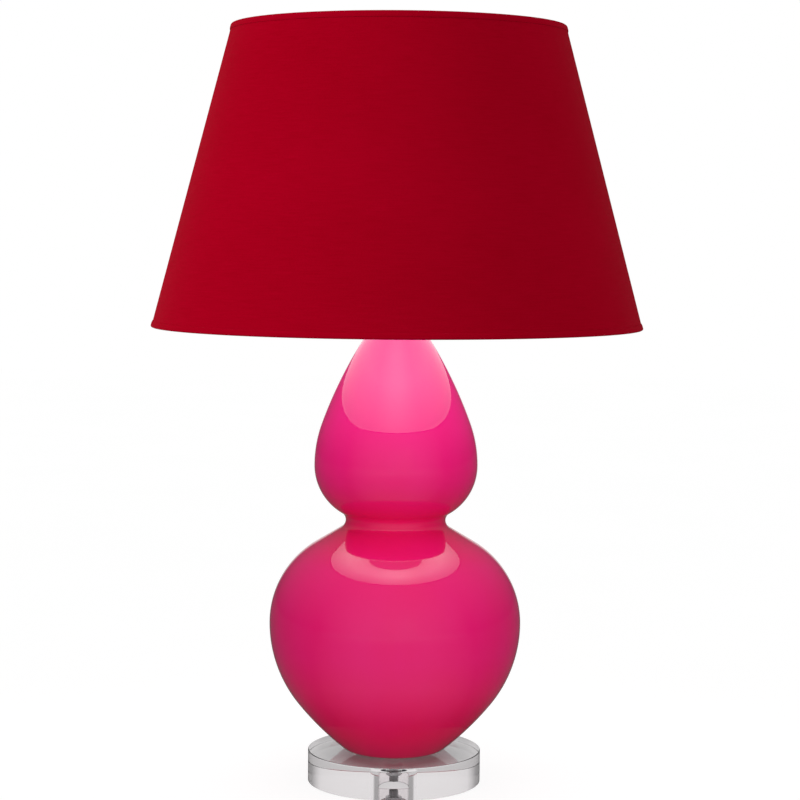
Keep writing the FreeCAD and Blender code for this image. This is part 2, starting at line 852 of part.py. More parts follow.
knob_floor = d.knob_start + d.knob_length - d.knob_web
spindle = disc("switch_spindle", d.spindle_diameter / 2, d.spindle_start, knob_floor)
knob = turned(
    "switch_knob",
    [
        (d.spindle_diameter / 2 + d.knob_clearance, d.knob_start),
        (d.knob_diameter / 2, d.knob_start),
        (d.knob_diameter / 2, knob_floor + d.knob_web),
        (0, knob_floor + d.knob_web),
        (0, knob_floor),
        (d.spindle_diameter / 2 + d.knob_clearance, knob_floor),
    ],
)
settle(spindle, z=switch_z, **ALONG_MINUS_Y)
settle(knob, z=switch_z, **ALONG_MINUS_Y)


# ---------------------------------------------------------------- bulb

tip_low = contact_top + d.bulb_tip_gap
tip_high = tip_low + d.bulb_tip_height
disc("bulb_contact", d.bulb_tip_diameter / 2, tip_low, tip_high)

collar_z = tip_high + d.bulb_insulator_height
turned(
    "bulb_insulator",
    [(0, tip_high), (d.bulb_tip_diameter / 2, tip_high), (d.bulb_insulator_top / 2, collar_z), (0, collar_z)],
)

cap_out = d.bulb_cap_diameter / 2
cap_in = cap_out - d.bulb_cap_sheet
cap_high = collar_z + d.bulb_cap_height
turned(
    "bulb_cap",
    [
        (d.bulb_insulator_top / 2 - d.bulb_cap_sheet, collar_z),
        (d.bulb_insulator_top / 2, collar_z),
        (cap_out, collar_z + d.bulb_cap_taper),
        (cap_out, cap_high),
        (cap_in, cap_high),
        (cap_in, collar_z + d.bulb_cap_taper),
    ],
)

glass_out = cap_in - d.bulb_neck_gap
glass_low = cap_high - d.bulb_neck_seat
globe = d.bulb_globe_diameter / 2
globe_z = tip_low + d.bulb_height - globe
flare_x = glass_out + d.bulb_flare
flare_reach = globe + d.bulb_flare
flare_rise = root(flare_reach * flare_reach - flare_x * flare_x)
flare_z = globe_z - flare_rise


def globe_side(depth):
    """The bulb's side from its neck's lower end to its crown, at a depth inside the glass."""
    ball_in, flare_in = globe - depth, d.bulb_flare + depth
    return [
        (glass_out - depth, glass_low),
        (glass_out - depth, flare_z),
        (flare_x * ball_in / flare_reach, globe_z - flare_rise * ball_in / flare_reach, 0 - flare_in),
        (0, globe_z + ball_in, ball_in),
    ]


turned("bulb_globe", globe_side(Size.of(0)) + reversed_side(globe_side(d.bulb_glass)))

mount_out = glass_out - d.bulb_glass - d.bulb_neck_gap
mount_tube = d.bulb_mount_diameter / 2
mount_top = glass_low + d.bulb_mount_height
turned(
    "bulb_mount",
    [
        (mount_out - d.bulb_mount_glass, glass_low),
        (mount_out, glass_low),
        (mount_out, glass_low + d.bulb_mount_rim),
        (mount_tube, glass_low + d.bulb_mount_flare),
        (mount_tube, mount_top),
        (0, mount_top),
        (0, mount_top - d.bulb_mount_glass),
        (mount_tube - d.bulb_mount_glass, mount_top - d.bulb_mount_glass),
        (mount_tube - d.bulb_mount_glass, glass_low + d.bulb_mount_flare),
    ],
)

filament = new_body("bulb_filament")
filament_path = new_sketch(filament, "filament_path")
filament_low = mount_top + d.filament_seat_gap
filament_top = filament_low + d.filament_rise
outline(
    filament_path,
    [
        (d.filament_root, filament_low),
        (d.filament_spread, filament_top),
        (0 - d.filament_spread, filament_top),
        (0 - d.filament_root, filament_low),
    ],
    closed=False,
)
filament_section = new_sketch(filament, "filament_section", "XY_Plane")
bind(filament_section, "AttachmentOffset.Base.z", filament_low)
round_wire(filament_section, d.filament_root, d.filament_wire / 2)
filament_sweep = filament.newObject("PartDesign::AdditivePipe", "filament_sweep")
filament_sweep.Profile = filament_section
filament_sweep.Spine = filament_path
filament_sweep.Transition = "Right corner"
filament.Tip = filament_sweep
keep(filament, "bulb_filament")


# ---------------------------------------------------------------- shade

shade_high = hub_high + d.spider_drop
shade_low = shade_high - d.shade_height
taper = (d.shade_low_diameter - d.shade_top_diameter) / 2 / d.shade_height


def cone(height, depth):
    """The radius at a height of the surface that lies a depth inside the fabric's outer face."""
    return d.shade_low_diameter / 2 - taper * (height - shade_low) - depth


def cone_sheet(label, low, high, outer, inner):
    return turned(label, [(cone(low, inner), low), (cone(low, outer), low), (cone(high, outer), high),
                          (cone(high, inner), high)])


edge_gap = d.trim_sheet + d.bond_gap
sheet_low, sheet_high = shade_low + edge_gap, shade_high - edge_gap
liner_outer = d.fabric_sheet + d.bond_gap
liner_inner = liner_outer + d.liner_sheet
cone_sheet("shade_fabric", sheet_low, sheet_high, Size.of(0), d.fabric_sheet)
cone_sheet("shade_liner", sheet_low, sheet_high, liner_outer, liner_inner)

trim_outer = 0 - d.bond_gap - d.trim_sheet
ring_depth = liner_inner + d.ring_gap + d.ring_wire / 2
leg_outer = liner_inner + 2 * d.ring_gap + d.ring_wire


def trim(label, edge, way):
    """A strip folded over a rim from outside the fabric to inside it; way is 1 at the low rim, else -1."""
    fold = edge + way * d.trim_sheet
    band_end = edge + way * d.trim_band
    leg_end = fold + way * d.trim_leg
    return turned(
        label,
        [
            (cone(edge, trim_outer), edge),
            (cone(band_end, trim_outer), band_end),
            (cone(band_end, 0 - d.bond_gap), band_end),
            (cone(fold, 0 - d.bond_gap), fold),
            (cone(fold, leg_outer), fold),
            (cone(leg_end, leg_outer), leg_end),
            (cone(leg_end, leg_outer + d.trim_sheet), leg_end),
            (cone(edge, leg_outer + d.trim_sheet), edge),
        ],
    )


trim("trim_bottom", shade_low, 1)
trim("trim_top", shade_high, -1)


def wire_ring(label, height):
    ring = doc.addObject("Part::Torus", label)
    bind_size(ring, "Radius1", cone(height, ring_depth))
    bind_size(ring, "Radius2", d.ring_wire / 2)
    settle(ring, z=height)
    return keep(ring, label)


wire_ring("bottom_ring", shade_low + d.trim_sheet + d.ring_gap + d.ring_wire / 2)
top_ring_z = shade_high - d.trim_sheet - d.trim_leg - d.top_ring_drop - d.ring_wire / 2
wire_ring("top_ring", top_ring_z)

turned("spider_hub", tube_outline(d.hub_hole / 2, d.hub_diameter / 2, hub_low, hub_high))

arms = new_body("spider_arms")
arm_z = hub_low + d.hub_sheet / 2
run = cone(top_ring_z, ring_depth) - d.hub_diameter / 2
rise = top_ring_z - arm_z
arm_span = root(run * run + rise * rise)
arm_length = arm_span - 2 * d.arm_weld_gap - d.ring_wire / 2
arm_tilt = slope_angle(rise, run)
arm = add_cylinder(
    arms,
    "spider_arm",
    d.arm_wire / 2,
    arm_length,
    x=d.hub_diameter / 2 + d.arm_weld_gap * run / arm_span,
    z=arm_z + d.arm_weld_gap * rise / arm_span,
    axis=(0, 1, 0),
    angle=90 - arm_tilt,
)
doc.recompute()
spread = arms.newObject("PartDesign::PolarPattern", "spider_arm_pattern")
spread.Originals = [arm]
spread.Axis = (next(line for line in arms.Origin.OriginFeatures if line.Role == "Z_Axis"), [""])
spread.Angle = 360
spread.Occurrences = int(d.arm_count.number)
bind(spread, "Occurrences", d.arm_count)
arms.Tip = spread
keep(arms, "spider_arms")


# ---------------------------------------------------------------- check every piece and write it

doc.recompute()
for thing in doc.Objects:
    if "Invalid" in thing.State or "Error" in thing.State:
        raise RuntimeError(f"{thing.Label} failed to build: {thing.State}")
os.makedirs("parts", exist_ok=True)
for piece in NODES:
    if piece.Shape.isNull() or not piece.Shape.isValid() or piece.Shape.Volume <= 0:
        raise RuntimeError(f"{piece.Label} has no sound shape")
for piece in NODES:
    piece.Shape.exportStep(f"parts/{piece.Label}.step")
    box = piece.Shape.optimalBoundingBox(False)
    print(f"{piece.Label:18s} solids {len(piece.Shape.Solids)}  z {box.ZMin:7.2f} to {box.ZMax:7.2f}  "
          f"across {box.XLength:6.2f} x {box.YLength:6.2f}")
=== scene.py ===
import math

import bpy
import numpy as np
from mathutils import Matrix, Vector


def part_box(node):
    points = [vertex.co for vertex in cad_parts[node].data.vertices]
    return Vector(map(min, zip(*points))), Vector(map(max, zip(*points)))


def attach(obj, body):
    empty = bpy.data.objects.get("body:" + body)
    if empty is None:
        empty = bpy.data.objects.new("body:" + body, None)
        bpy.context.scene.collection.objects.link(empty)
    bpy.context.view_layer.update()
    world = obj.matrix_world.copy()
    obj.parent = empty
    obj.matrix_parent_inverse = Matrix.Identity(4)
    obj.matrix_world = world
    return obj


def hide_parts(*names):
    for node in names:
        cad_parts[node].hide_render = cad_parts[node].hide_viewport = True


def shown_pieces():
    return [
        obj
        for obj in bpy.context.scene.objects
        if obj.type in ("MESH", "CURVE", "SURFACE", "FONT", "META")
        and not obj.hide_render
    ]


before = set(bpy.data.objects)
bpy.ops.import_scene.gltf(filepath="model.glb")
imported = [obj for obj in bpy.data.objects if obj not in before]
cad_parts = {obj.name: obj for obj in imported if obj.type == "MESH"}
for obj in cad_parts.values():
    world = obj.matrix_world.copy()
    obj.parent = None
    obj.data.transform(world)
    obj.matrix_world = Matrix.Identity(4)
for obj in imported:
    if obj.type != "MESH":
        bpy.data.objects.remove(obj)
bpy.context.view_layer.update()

# Double gourd table lamp, in metres. +Z is up, -Y is the front, where the switch knob is, and the origin lies
# under the middle of the clear foot.

FOOT_TOP = 0.03175
GOURD_TOP = 0.462
WAIST_HEIGHT = 0.2623
SADDLE_TOP = 0.4881
SWITCH_HEIGHT = 0.5158
HARP_TOP = 0.7167
HUB_TOP = 0.7235
SHADE_LOW, SHADE_HIGH = 0.4535, 0.748
SHADE_LOW_RADIUS, SHADE_HIGH_RADIUS = 0.2413, 0.163
SLANT = math.hypot(SHADE_HIGH - SHADE_LOW, SHADE_LOW_RADIUS - SHADE_HIGH_RADIUS)

NANOMETRES = 1e9
SHARP_TURN = math.radians(38)
EASED_SHARE, EASED_BEYOND = 0.38, 1.25
END_DRAW, END_ROUND = 0.35, 0.999
WHITE = (1, 1, 1, 1)


# ---------------------------------------------------------------- profiles and surfaces

def traced(points, steps=24):
    """A line through (x, z) points. One given as (x, z, bend) is reached along an arc of that radius: its centre is
    the chord's middle moved sideways by the root of bend squared less half the chord squared, to the left where
    bend is positive."""
    runs = [np.array([points[0][:2]])]
    for start, end in zip(points, points[1:]):
        p, q = np.array(start[:2]), np.array(end[:2])
        if len(end) == 2:
            runs.append(q[None])
            continue
        chord = q - p
        half = np.linalg.norm(chord) / 2
        side = np.sign(end[2])
        away = np.array([-chord[1], chord[0]]) / (2 * half)
        centre = (p + q) / 2 + side * away * math.sqrt(max(end[2] ** 2 - half ** 2, 0))
        sweep = side * 2 * math.asin(min(half / abs(end[2]), 1))
        angle = math.atan2(*(p - centre)[::-1]) + sweep * np.arange(1, steps + 1) / steps
        runs.append(centre + abs(end[2]) * np.stack((np.cos(angle), np.sin(angle)), axis=1))
    return np.concatenate(runs)


def eased(points, radii, steps=5):
    """The line with each corner eased by its own radius, where that is over 0. The arc is the rational curve
    ((1-s)^2 A + 2 w s (1-s) C + s^2 B) / ((1-s)^2 + 2 w s (1-s) + s^2), from tangent point A to B round corner C
    with w the cosine of half the turn. It takes up EASED_SHARE of a side at most, and one more point on each side,
    at EASED_BEYOND of its reach, keeps the flats flat."""
    points = np.array(points, float)
    radii = np.broadcast_to(np.array(radii, float), len(points))
    back, on = np.roll(points, 1, axis=0) - points, np.roll(points, -1, axis=0) - points
    back_run, on_run = np.linalg.norm(back, axis=1), np.linalg.norm(on, axis=1)
    back, on = back / np.maximum(back_run, 1e-9)[:, None], on / np.maximum(on_run, 1e-9)[:, None]
    half_turn = np.arccos(np.clip(-(back * on).sum(axis=1), -1, 1)) / 2
    # the half turn is held short of a right angle, where the tangent has no end
    reach = np.minimum(radii * np.tan(np.minimum(half_turn, 1.5)), EASED_SHARE * np.minimum(back_run, on_run))
    reach = reach[:, None, None]
    s = np.linspace(0, 1, steps + 1)[None, :, None]
    w = np.cos(half_turn)[:, None, None]
    corner, back, on = points[:, None], back[:, None], on[:, None]
    curve = (1 - s) ** 2 * (corner + back * reach) + 2 * w * s * (1 - s) * corner + s ** 2 * (corner + on * reach)
    curve = curve / ((1 - s) ** 2 + 2 * w * s * (1 - s) + s ** 2)
    arcs = np.concatenate((corner + EASED_BEYOND * back * reach, curve, corner + EASED_BEYOND * on * reach), axis=1)
    # ranks that put each arc's points in its corner's place among the others
    order = np.arange(len(points))[:, None] + np.linspace(-0.4, 0.4, steps + 3)[None, :]
    soft = radii > 0
    every = np.concatenate((points[~soft], arcs[soft].reshape(-1, 2)))
    rank = np.concatenate((np.arange(len(points))[~soft], order[soft].ravel()))
    return every[np.argsort(rank, kind="stable")]


def grid_faces(rows, columns, wrap_rows, wrap_columns):
    """Corner numbers of the quads between neighbouring rows and columns, joined round where a direction closes."""
    row = np.arange(rows if wrap_rows else rows - 1)[:, None]
    column = np.arange(columns if wrap_columns else columns - 1)[None, :]
    next_row, next_column = (row + 1) % rows, (column + 1) % columns
    corners = np.broadcast_arrays(row * columns + column, row * columns + next_column,
                                  next_row * columns + next_column, next_row * columns + column)
    return np.stack(corners, axis=-1).reshape(-1, 4)


def mesh_of(name, points, quads, merge=True):
    """A smooth mesh of quads, sharp where faces turn by over SHARP_TURN. Points that agree to a nanometre become
    one, and a quad that then names one twice becomes a triangle."""
    first = np.arange(len(points))
    if merge:
        keys = np.round(points * NANOMETRES).astype(np.int64)
        first, merged = np.unique(keys, axis=0, return_index=True, return_inverse=True)[1:]
        quads = merged.ravel()[quads]
    kept = quads != np.roll(quads, -1, axis=1)
    whole = kept.sum(axis=1) > 2
    corners, counts = quads[whole][kept[whole]], kept[whole].sum(axis=1)
    mesh = bpy.data.meshes.new(name)
    mesh.vertices.add(len(first))
    mesh.vertices.foreach_set("co", points[first].astype(np.float32).ravel())
    mesh.loops.add(len(corners))
    mesh.loops.foreach_set("vertex_index", corners.astype(np.int32))
    mesh.polygons.add(len(counts))
    mesh.polygons.foreach_set("loop_start", np.concatenate(([0], np.cumsum(counts)[:-1])).astype(np.int32))
    mesh.update(calc_edges=True)
    mesh.validate()
    mesh.shade_smooth()
    mesh.set_sharp_from_angle(angle=SHARP_TURN)
    return mesh


def turned(profile, sides, swell=None, closed=True):
    """Points and quads of a turned shape: at turn a and row i it lies at (r cos a, r sin a, z), where r is the
    profile's radius plus swell(a, z, radius), which cuts threads, knurls and flats."""
    radius, height = profile[:, :1], profile[:, 1:]
    turn = np.arange(sides)[None, :] * 2 * math.pi / sides
    out = radius + (swell(turn, height, radius) if swell else 0) + 0 * turn
    points = np.stack((out * np.cos(turn), out * np.sin(turn), height + 0 * turn), axis=-1)
    return points.reshape(-1, 3), grid_faces(len(profile), sides, closed, True)


def on_axis(profile, near=1e-7):
    """The profile with the points that all but touch the axis put on it."""
    profile[np.abs(profile[:, 0]) < near, 0] = 0
    return profile


def along(points, origin, axis):
    """Points turned on Z carried to a line through origin along axis."""
    axis = np.array(axis, float) / np.linalg.norm(axis)
    across = np.array([1.0, 0.0, 0.0])
    return np.array(origin) + points @ np.stack((across, np.cross(axis, across), axis))


def tube(path, radius, azimuth=0.0, sides=20):
    """Points and quads of a round wire along a path (s, z) in the upright plane at an azimuth: each ring lies at
    path + radius (n cos a - b sin a), with n the path's normal in the plane and b the plane's own normal. Both
    ends are drawn in to a point along a quarter circle, over END_DRAW of the radius. END_ROUND, just under 1, keeps
    the circle's end short of upright."""
    lead = np.sin(np.linspace(0, math.pi / 2, 6))[:-1]
    first, last = path[1] - path[0], path[-1] - path[-2]
    first, last = first / np.linalg.norm(first), last / np.linalg.norm(last)
    draw = radius * END_DRAW
    drawn = 1 - np.sqrt(1 - (1 - lead[:, None]) ** 2 * END_ROUND)
    past_start = np.linalg.norm(path - path[0], axis=1) > draw
    before_end = np.linalg.norm(path - path[-1], axis=1) > draw
    body = path[past_start & before_end]
    path = np.concatenate((path[0] + first * draw * drawn, body, path[-1] - last * draw * drawn[::-1]))
    width = np.concatenate((lead, np.ones(len(body)), lead[::-1])) * radius
    heading = np.gradient(path, axis=0)
    heading = heading / np.maximum(np.linalg.norm(heading, axis=1), 1e-12)[:, None]
    outward = np.array([math.cos(azimuth), math.sin(azimuth), 0.0])
    upward = np.array([0.0, 0.0, 1.0])
    square = np.cross(outward, upward)
    spine = path[:, :1] * outward + path[:, 1:] * upward
    normal = heading[:, 1:] * outward - heading[:, :1] * upward
    around = np.arange(sides) * 2 * math.pi / sides
    ring = normal[:, None] * np.cos(around)[None, :, None] - square * np.sin(around)[None, :, None]
    points = spine[:, None] + width[:, None, None] * ring
    return points.reshape(-1, 3), grid_faces(len(path), sides, False, True)


def joined(*shapes):
    """Several shapes' points and quads as one."""
    starts = np.cumsum([0] + [len(points) for points, quads in shapes[:-1]])
    return (np.concatenate([points for points, quads in shapes]),
            np.concatenate([quads + start for (points, quads), start in zip(shapes, starts)]))


def thread(pitch, depth, low, high):
    """A screw thread cut into a turned shape between two heights: the radius drops by depth (1 - cos(2 pi z / pitch
    - a)) / 2, and fades in over one pitch at each end."""
    def cut(turn, height, radius):
        fade = np.clip((height - low) / pitch, 0, 1) * np.clip((high - height) / pitch, 0, 1)
        return -depth * fade * (1 - np.cos(2 * math.pi * height / pitch - turn)) / 2
    return cut


def piece(name, shape, finish, body, slot, *nodes, merge=True):
    """A new piece from points and quads, riding on a body and standing for CAD nodes."""
    made = bpy.data.objects.new(name, mesh_of(name, *shape, merge))
    bpy.context.scene.collection.objects.link(made)
    made.data.materials.append(finish)
    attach(made, body)
    if nodes:
        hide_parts(*nodes)
    return made


# ---------------------------------------------------------------- finishes

class Nodes:
    """Shader nodes added to a tree, for a finish or for the world."""

    def __init__(self, tree):
        self.tree = tree

    def node(self, kind, inputs, **choices):
        """A node with its choices made, and each input linked to a socket or set to a value."""
        made = self.tree.nodes.new(kind)
        for key, value in choices.items():
            setattr(made, key, value)
        for key, value in inputs.items():
            if isinstance(value, bpy.types.NodeSocket):
                self.tree.links.new(value, made.inputs[key])
            else:
                made.inputs[key].default_value = value
        return made

    def math(self, operation, first, second):
        return self.node("ShaderNodeMath", {0: first, 1: second}, operation=operation).outputs[0]

    def add(self, *values):
        total = values[0]
        for value in values[1:]:
            total = self.math("ADD", total, value)
        return total

    def spread(self, value, low, high, start=0.3, end=0.7):
        """A value's range from start to end carried to the range from low to high, and held there beyond it. Left
        out, start and end are a pattern's middle range."""
        return self.node("ShaderNodeMapRange", {"Value": value, "From Min": start, "From Max": end,
                                                "To Min": low, "To Max": high}).outputs["Result"]

    def blend(self, share, first, second):
        """A shader between two, by a share from 0 to 1."""
        return self.node("ShaderNodeMixShader", {0: share, 1: first.outputs[0], 2: second.outputs[0]})

    def show(self, shader, output="Material Output"):
        self.tree.links.new(shader.outputs[0], self.tree.nodes[output].inputs["Surface"])


class Finish(Nodes):
    """A material in the making: its shader's own settings, and the nodes that vary them."""

    def __init__(self, name, **settings):
        self.material = bpy.data.materials.new(name)
        self.material.use_nodes = True
        super().__init__(self.material.node_tree)
        self.shader = self.tree.nodes["Principled BSDF"]
        for key, value in settings.items():
            self.shader.inputs[key.replace("_", " ")].default_value = value

    def place(self, stretch=(1, 1, 1), turn=(0, 0, 0)):
        """Object coordinates, stretched and turned."""
        where = self.node("ShaderNodeTexCoord", {}).outputs["Object"]
        return self.node("ShaderNodeMapping", {"Vector": where, "Scale": stretch, "Rotation": turn}).outputs[0]

    def cloth_place(self, stretch):
        """The cloth's own flat coordinates in metres, stretched."""
        where = self.node("ShaderNodeUVMap", {}, uv_map="cloth").outputs["UV"]
        return self.node("ShaderNodeMapping", {"Vector": where, "Scale": stretch}).outputs[0]

    def noise(self, where, scale, detail=2.0, rough=0.5, warp=0.0):
        return self.node("ShaderNodeTexNoise", {"Vector": where, "Scale": scale, "Detail": detail,
                                                "Roughness": rough, "Distortion": warp}).outputs["Fac"]

    def between(self, share, first, second):
        """A colour between two, by a share from 0 to 1."""
        mix = self.node("ShaderNodeMix", {"Factor": share}, data_type="RGBA")
        for socket, colour in zip([s for s in mix.inputs if s.type == "RGBA"], (first, second)):
            socket.default_value = (*colour, 1)
        return next(s for s in mix.outputs if s.type == "RGBA")

    def feed(self, socket, value):
        self.tree.links.new(value, self.shader.inputs[socket])

    def relief(self, height, distance, strength=1.0, under=None):
        """Raises the surface by a pattern times a distance in metres, on top of an earlier relief."""
        inputs = {"Height": height, "Distance": distance, "Strength": strength}
        if under is not None:
            inputs["Normal"] = under
        normal = self.node("ShaderNodeBump", inputs).outputs["Normal"]
        self.feed("Normal", normal)
        return normal


def pink_glaze():
    """Deep pink glaze with painted shade and light in its colour: darker and redder down to the foot and into the
    waist, where the body lies in shade, and paler and bluer over the upper lobe, under the lit shade. It is cloudy,
    with a few waves in its gloss and fine specks."""
    f = Finish("pink_glaze", IOR=1.56)
    height = f.node("ShaderNodeSeparateXYZ", {0: f.place()}).outputs["Z"]
    # painted shade and light: the darker, redder second tone takes all of the foot, a third of the belly, more again
    # in the waist and none of the upper lobe, following where the body lies in shade and where the lit shade lights
    # it
    low = f.math("ADD", f.spread(height, 0.65, 0.0, 0.055, 0.14), f.spread(height, 0.35, 0.0, 0.30, 0.37))
    from_waist = f.math("ABSOLUTE", f.math("SUBTRACT", height, WAIST_HEIGHT), 0)
    slub_and_painted_shade = f.math("ADD", low, f.spread(from_waist, 0.45, 0.0, 0.008, 0.04))
    cloud = f.spread(f.noise(f.place((1, 1, 0.45)), 16, 4, 0.55), -0.09, 0.09)
    speck = f.noise(f.place(), 1500, 2)
    share = f.math("ADD", slub_and_painted_shade, f.math("ADD", cloud, f.spread(speck, -0.03, 0.03)))
    f.feed("Base Color", f.between(share, (0.84, 0.009, 0.205), (0.815, 0.005, 0.088)))
    f.feed("Roughness", f.spread(f.noise(f.place(), 30, 3), 0.03, 0.075))
    waves = f.relief(f.noise(f.place((1, 1, 0.6)), 42, 2, 0.4), 0.00005, 0.5)
    f.relief(speck, 0.000004, 0.4, waves)
    return f.material


def clear_acrylic():
    """Polished clear acrylic with faint wipe marks."""
    f = Finish("clear_acrylic", IOR=1.49, Transmission_Weight=1.0)
    wipes = f.noise(f.place((1, 1, 3), (0.3, 0.2, 0.5)), 90, 5, 0.7, 0.6)
    # painted reflection: both tones lean faintly pink, standing in for the pink body mirrored in the block
    f.feed("Base Color", f.between(f.spread(wipes, 0, 1), (0.89, 0.855, 0.865), (0.92, 0.89, 0.90)))
    f.feed("Roughness", f.spread(wipes, 0.0, 0.03, 0.5, 0.85))
    return f.material


def metal(name, dark, light, low, high, grain, stretch=(1, 1, 1)):
    """Bare or plated metal: two close tones, a gloss that varies, and fine drawn marks."""
    f = Finish(name, Metallic=1.0)
    marks = f.noise(f.place(stretch), grain, 4, 0.65)
    f.feed("Base Color", f.between(f.spread(f.noise(f.place(), 60, 3), 0, 1), dark, light))
    f.feed("Roughness", f.spread(marks, low, high))
    f.relief(marks, 0.00001, 0.5)
    return f.material


def moulded(name, dark, light, low, high, grain, depth):
    """Moulded or coated plastic, card or enamel: a skin of fine grain over two close tones."""
    f = Finish(name)
    skin = f.noise(f.place(), grain, 3, 0.6)
    f.feed("Base Color", f.between(f.spread(f.noise(f.place(), 45, 4), 0, 1), dark, light))
    f.feed("Roughness", f.spread(skin, low, high))
    f.relief(skin, depth, 0.6)
    return f.material


THREAD_SPACING = 0.00042


def crimson_cloth():
    """Crimson slubbed cloth: an over and under weave, slubs that run round the shade, and a slow drift of dye."""
    f = Finish("crimson_cloth", Sheen_Weight=0.06, Sheen_Roughness=0.3, Sheen_Tint=(1.0, 0.75, 0.78, 1.0),
               Specular_IOR_Level=0.0)
    across = f.node("ShaderNodeSeparateXYZ", {"Vector": f.cloth_place((1, 1, 1))})
    wander = f.spread(f.noise(f.cloth_place((30, 90, 1)), 1, 3), -0.9, 0.9)
    threads = 2 * math.pi / THREAD_SPACING
    weft = f.math("SINE", f.math("ADD", f.math("MULTIPLY", across.outputs["Y"], threads), wander), 0)
    warp = f.math("SINE", f.math("MULTIPLY", across.outputs["X"], threads / 1.15), 0)
    weave = f.math("MULTIPLY", weft, warp)
    slub = f.noise(f.cloth_place((38, 900, 1)), 1, 4, 0.62)
    slub_and_painted_shade = f.spread(slub, 0, 1, 0.55, 0.78)
    drift = f.noise(f.cloth_place((5, 9, 1)), 1, 3)
    tone = f.math("ADD", f.spread(slub, 0.15, 0.75), f.math("ADD", f.spread(drift, -0.14, 0.14),
                                                          f.math("MULTIPLY", weave, 0.10)))
    f.feed("Base Color", f.between(tone, (0.32, 0.0, 0.008), (0.405, 0.0003, 0.0145)))
    f.feed("Roughness", f.spread(slub, 0.72, 0.9))
    body = f.relief(f.math("ADD", weft, weave), 0.00005, 0.5)
    f.relief(slub_and_painted_shade, 0.00012, 0.6, body)
    return f.material


def white_liner():
    """White styrene behind the cloth, with the print of the cloth's slubs showing faintly."""
    f = Finish("white_liner")
    slub = f.noise(f.place((3, 3, 160)), 3, 3, 0.6)
    f.feed("Base Color", f.between(f.spread(slub, 0, 1), (0.83, 0.82, 0.80), (0.88, 0.875, 0.86)))
    f.feed("Roughness", f.spread(f.noise(f.place(), 300, 2), 0.42, 0.6))
    f.relief(slub, 0.00004, 0.4)
    return f.material


def frosted_glass():
    """The bulb's frosted white glass, cloudier in places."""
    f = Finish("frosted_glass", IOR=1.5)
    frost = f.noise(f.place(), 700, 3, 0.6)
    cloud = f.math("ADD", f.spread(frost, 0, 0.5), f.spread(f.noise(f.place(), 25, 2), 0, 0.5))
    f.feed("Base Color", f.between(cloud, (0.70, 0.69, 0.66), (0.78, 0.77, 0.75)))
    f.feed("Roughness", f.spread(frost, 0.45, 0.65))
    f.relief(frost, 0.00002, 0.5)
    return f.material


GLAZE = pink_glaze()
ACRYLIC = clear_acrylic()
NICKEL = metal("polished_nickel", (0.64, 0.61, 0.57), (0.74, 0.71, 0.67), 0.10, 0.22, 500)
BRUSHED = metal("drawn_nickel", (0.60, 0.58, 0.54), (0.70, 0.68, 0.64), 0.18, 0.32, 300, (1, 1, 14))
STEEL = metal("zinc_plated_steel", (0.60, 0.60, 0.61), (0.74, 0.74, 0.75), 0.22, 0.42, 900)
BRASS = metal("brass", (0.68, 0.46, 0.20), (0.78, 0.56, 0.27), 0.18, 0.34, 700)
ALUMINIUM = metal("cap_aluminium", (0.76, 0.76, 0.77), (0.86, 0.86, 0.87), 0.22, 0.4, 600)
SOLDER = metal("solder", (0.45, 0.45, 0.46), (0.60, 0.60, 0.61), 0.3, 0.5, 400)
TUNGSTEN = metal("tungsten", (0.25, 0.25, 0.26), (0.35, 0.35, 0.36), 0.3, 0.5, 2000)
PHENOLIC = moulded("black_phenolic", (0.010, 0.010, 0.011), (0.020, 0.019, 0.019), 0.28, 0.46, 1600, 0.00002)
VITRITE = moulded("black_vitrite", (0.008, 0.008, 0.012), (0.020, 0.020, 0.028), 0.08, 0.2, 900, 0.00001)
FIBRE = moulded("insulating_card", (0.20, 0.105, 0.045), (0.30, 0.17, 0.08), 0.7, 0.9, 1300, 0.00005)
COATED = moulded("white_coated_wire", (0.76, 0.755, 0.74), (0.84, 0.835, 0.82), 0.28, 0.42, 1100, 0.00003)
CRIMSON = crimson_cloth()
LINER = white_liner()
FROSTED = frosted_glass()
STEM_GLASS = Finish("stem_glass", IOR=1.5, Transmission_Weight=1.0)
STEM_GLASS.feed("Roughness", STEM_GLASS.spread(STEM_GLASS.noise(STEM_GLASS.place(), 80), 0.0, 0.05))


# ---------------------------------------------------------------- foot

BORE, COUNTERBORE, COUNTER_TOP, FOOT_RADIUS = 0.00545, 0.0155, 0.016, 0.086
foot_line = eased(
    [(COUNTERBORE, 0), (FOOT_RADIUS, 0), (FOOT_RADIUS, FOOT_TOP), (BORE, FOOT_TOP), (BORE, COUNTER_TOP),
     (COUNTERBORE, COUNTER_TOP)],
    [0.0002, 0.0007, 0.0007, 0.0002, 0.0002, 0.0002],
)
piece("clear_foot", turned(foot_line, 256), ACRYLIC, "root", "clear_acrylic", "acrylic_base")

ROD_RADIUS, ROD_END_RADIUS, ROD_BORE = 0.00495, 0.0044, 0.00325
ROD_LOW, ROD_LOW_RUNOUT, ROD_HIGH_RUNOUT, ROD_HIGH = 0.0045, 0.036, 0.478, 0.4971
ROD_THREAD, ROWS_A_TURN = 0.0006, 9
FINE_PITCH = 0.00094  # of the rod and of the stud, twenty-seven turns to the inch
rod_heights = np.concatenate((
    np.arange(ROD_LOW + 0.0005, ROD_LOW_RUNOUT - 0.0005, FINE_PITCH / ROWS_A_TURN),
    np.linspace(ROD_LOW_RUNOUT, ROD_HIGH_RUNOUT, 12),
    np.arange(ROD_HIGH_RUNOUT + 0.001, ROD_HIGH - 0.0005, FINE_PITCH / ROWS_A_TURN),
))
rod_line = np.concatenate((
    [(ROD_BORE, ROD_LOW), (ROD_END_RADIUS, ROD_LOW)],
    np.stack((np.full(len(rod_heights), ROD_RADIUS), rod_heights), axis=1),
    [(ROD_END_RADIUS, ROD_HIGH), (ROD_BORE, ROD_HIGH)],
))


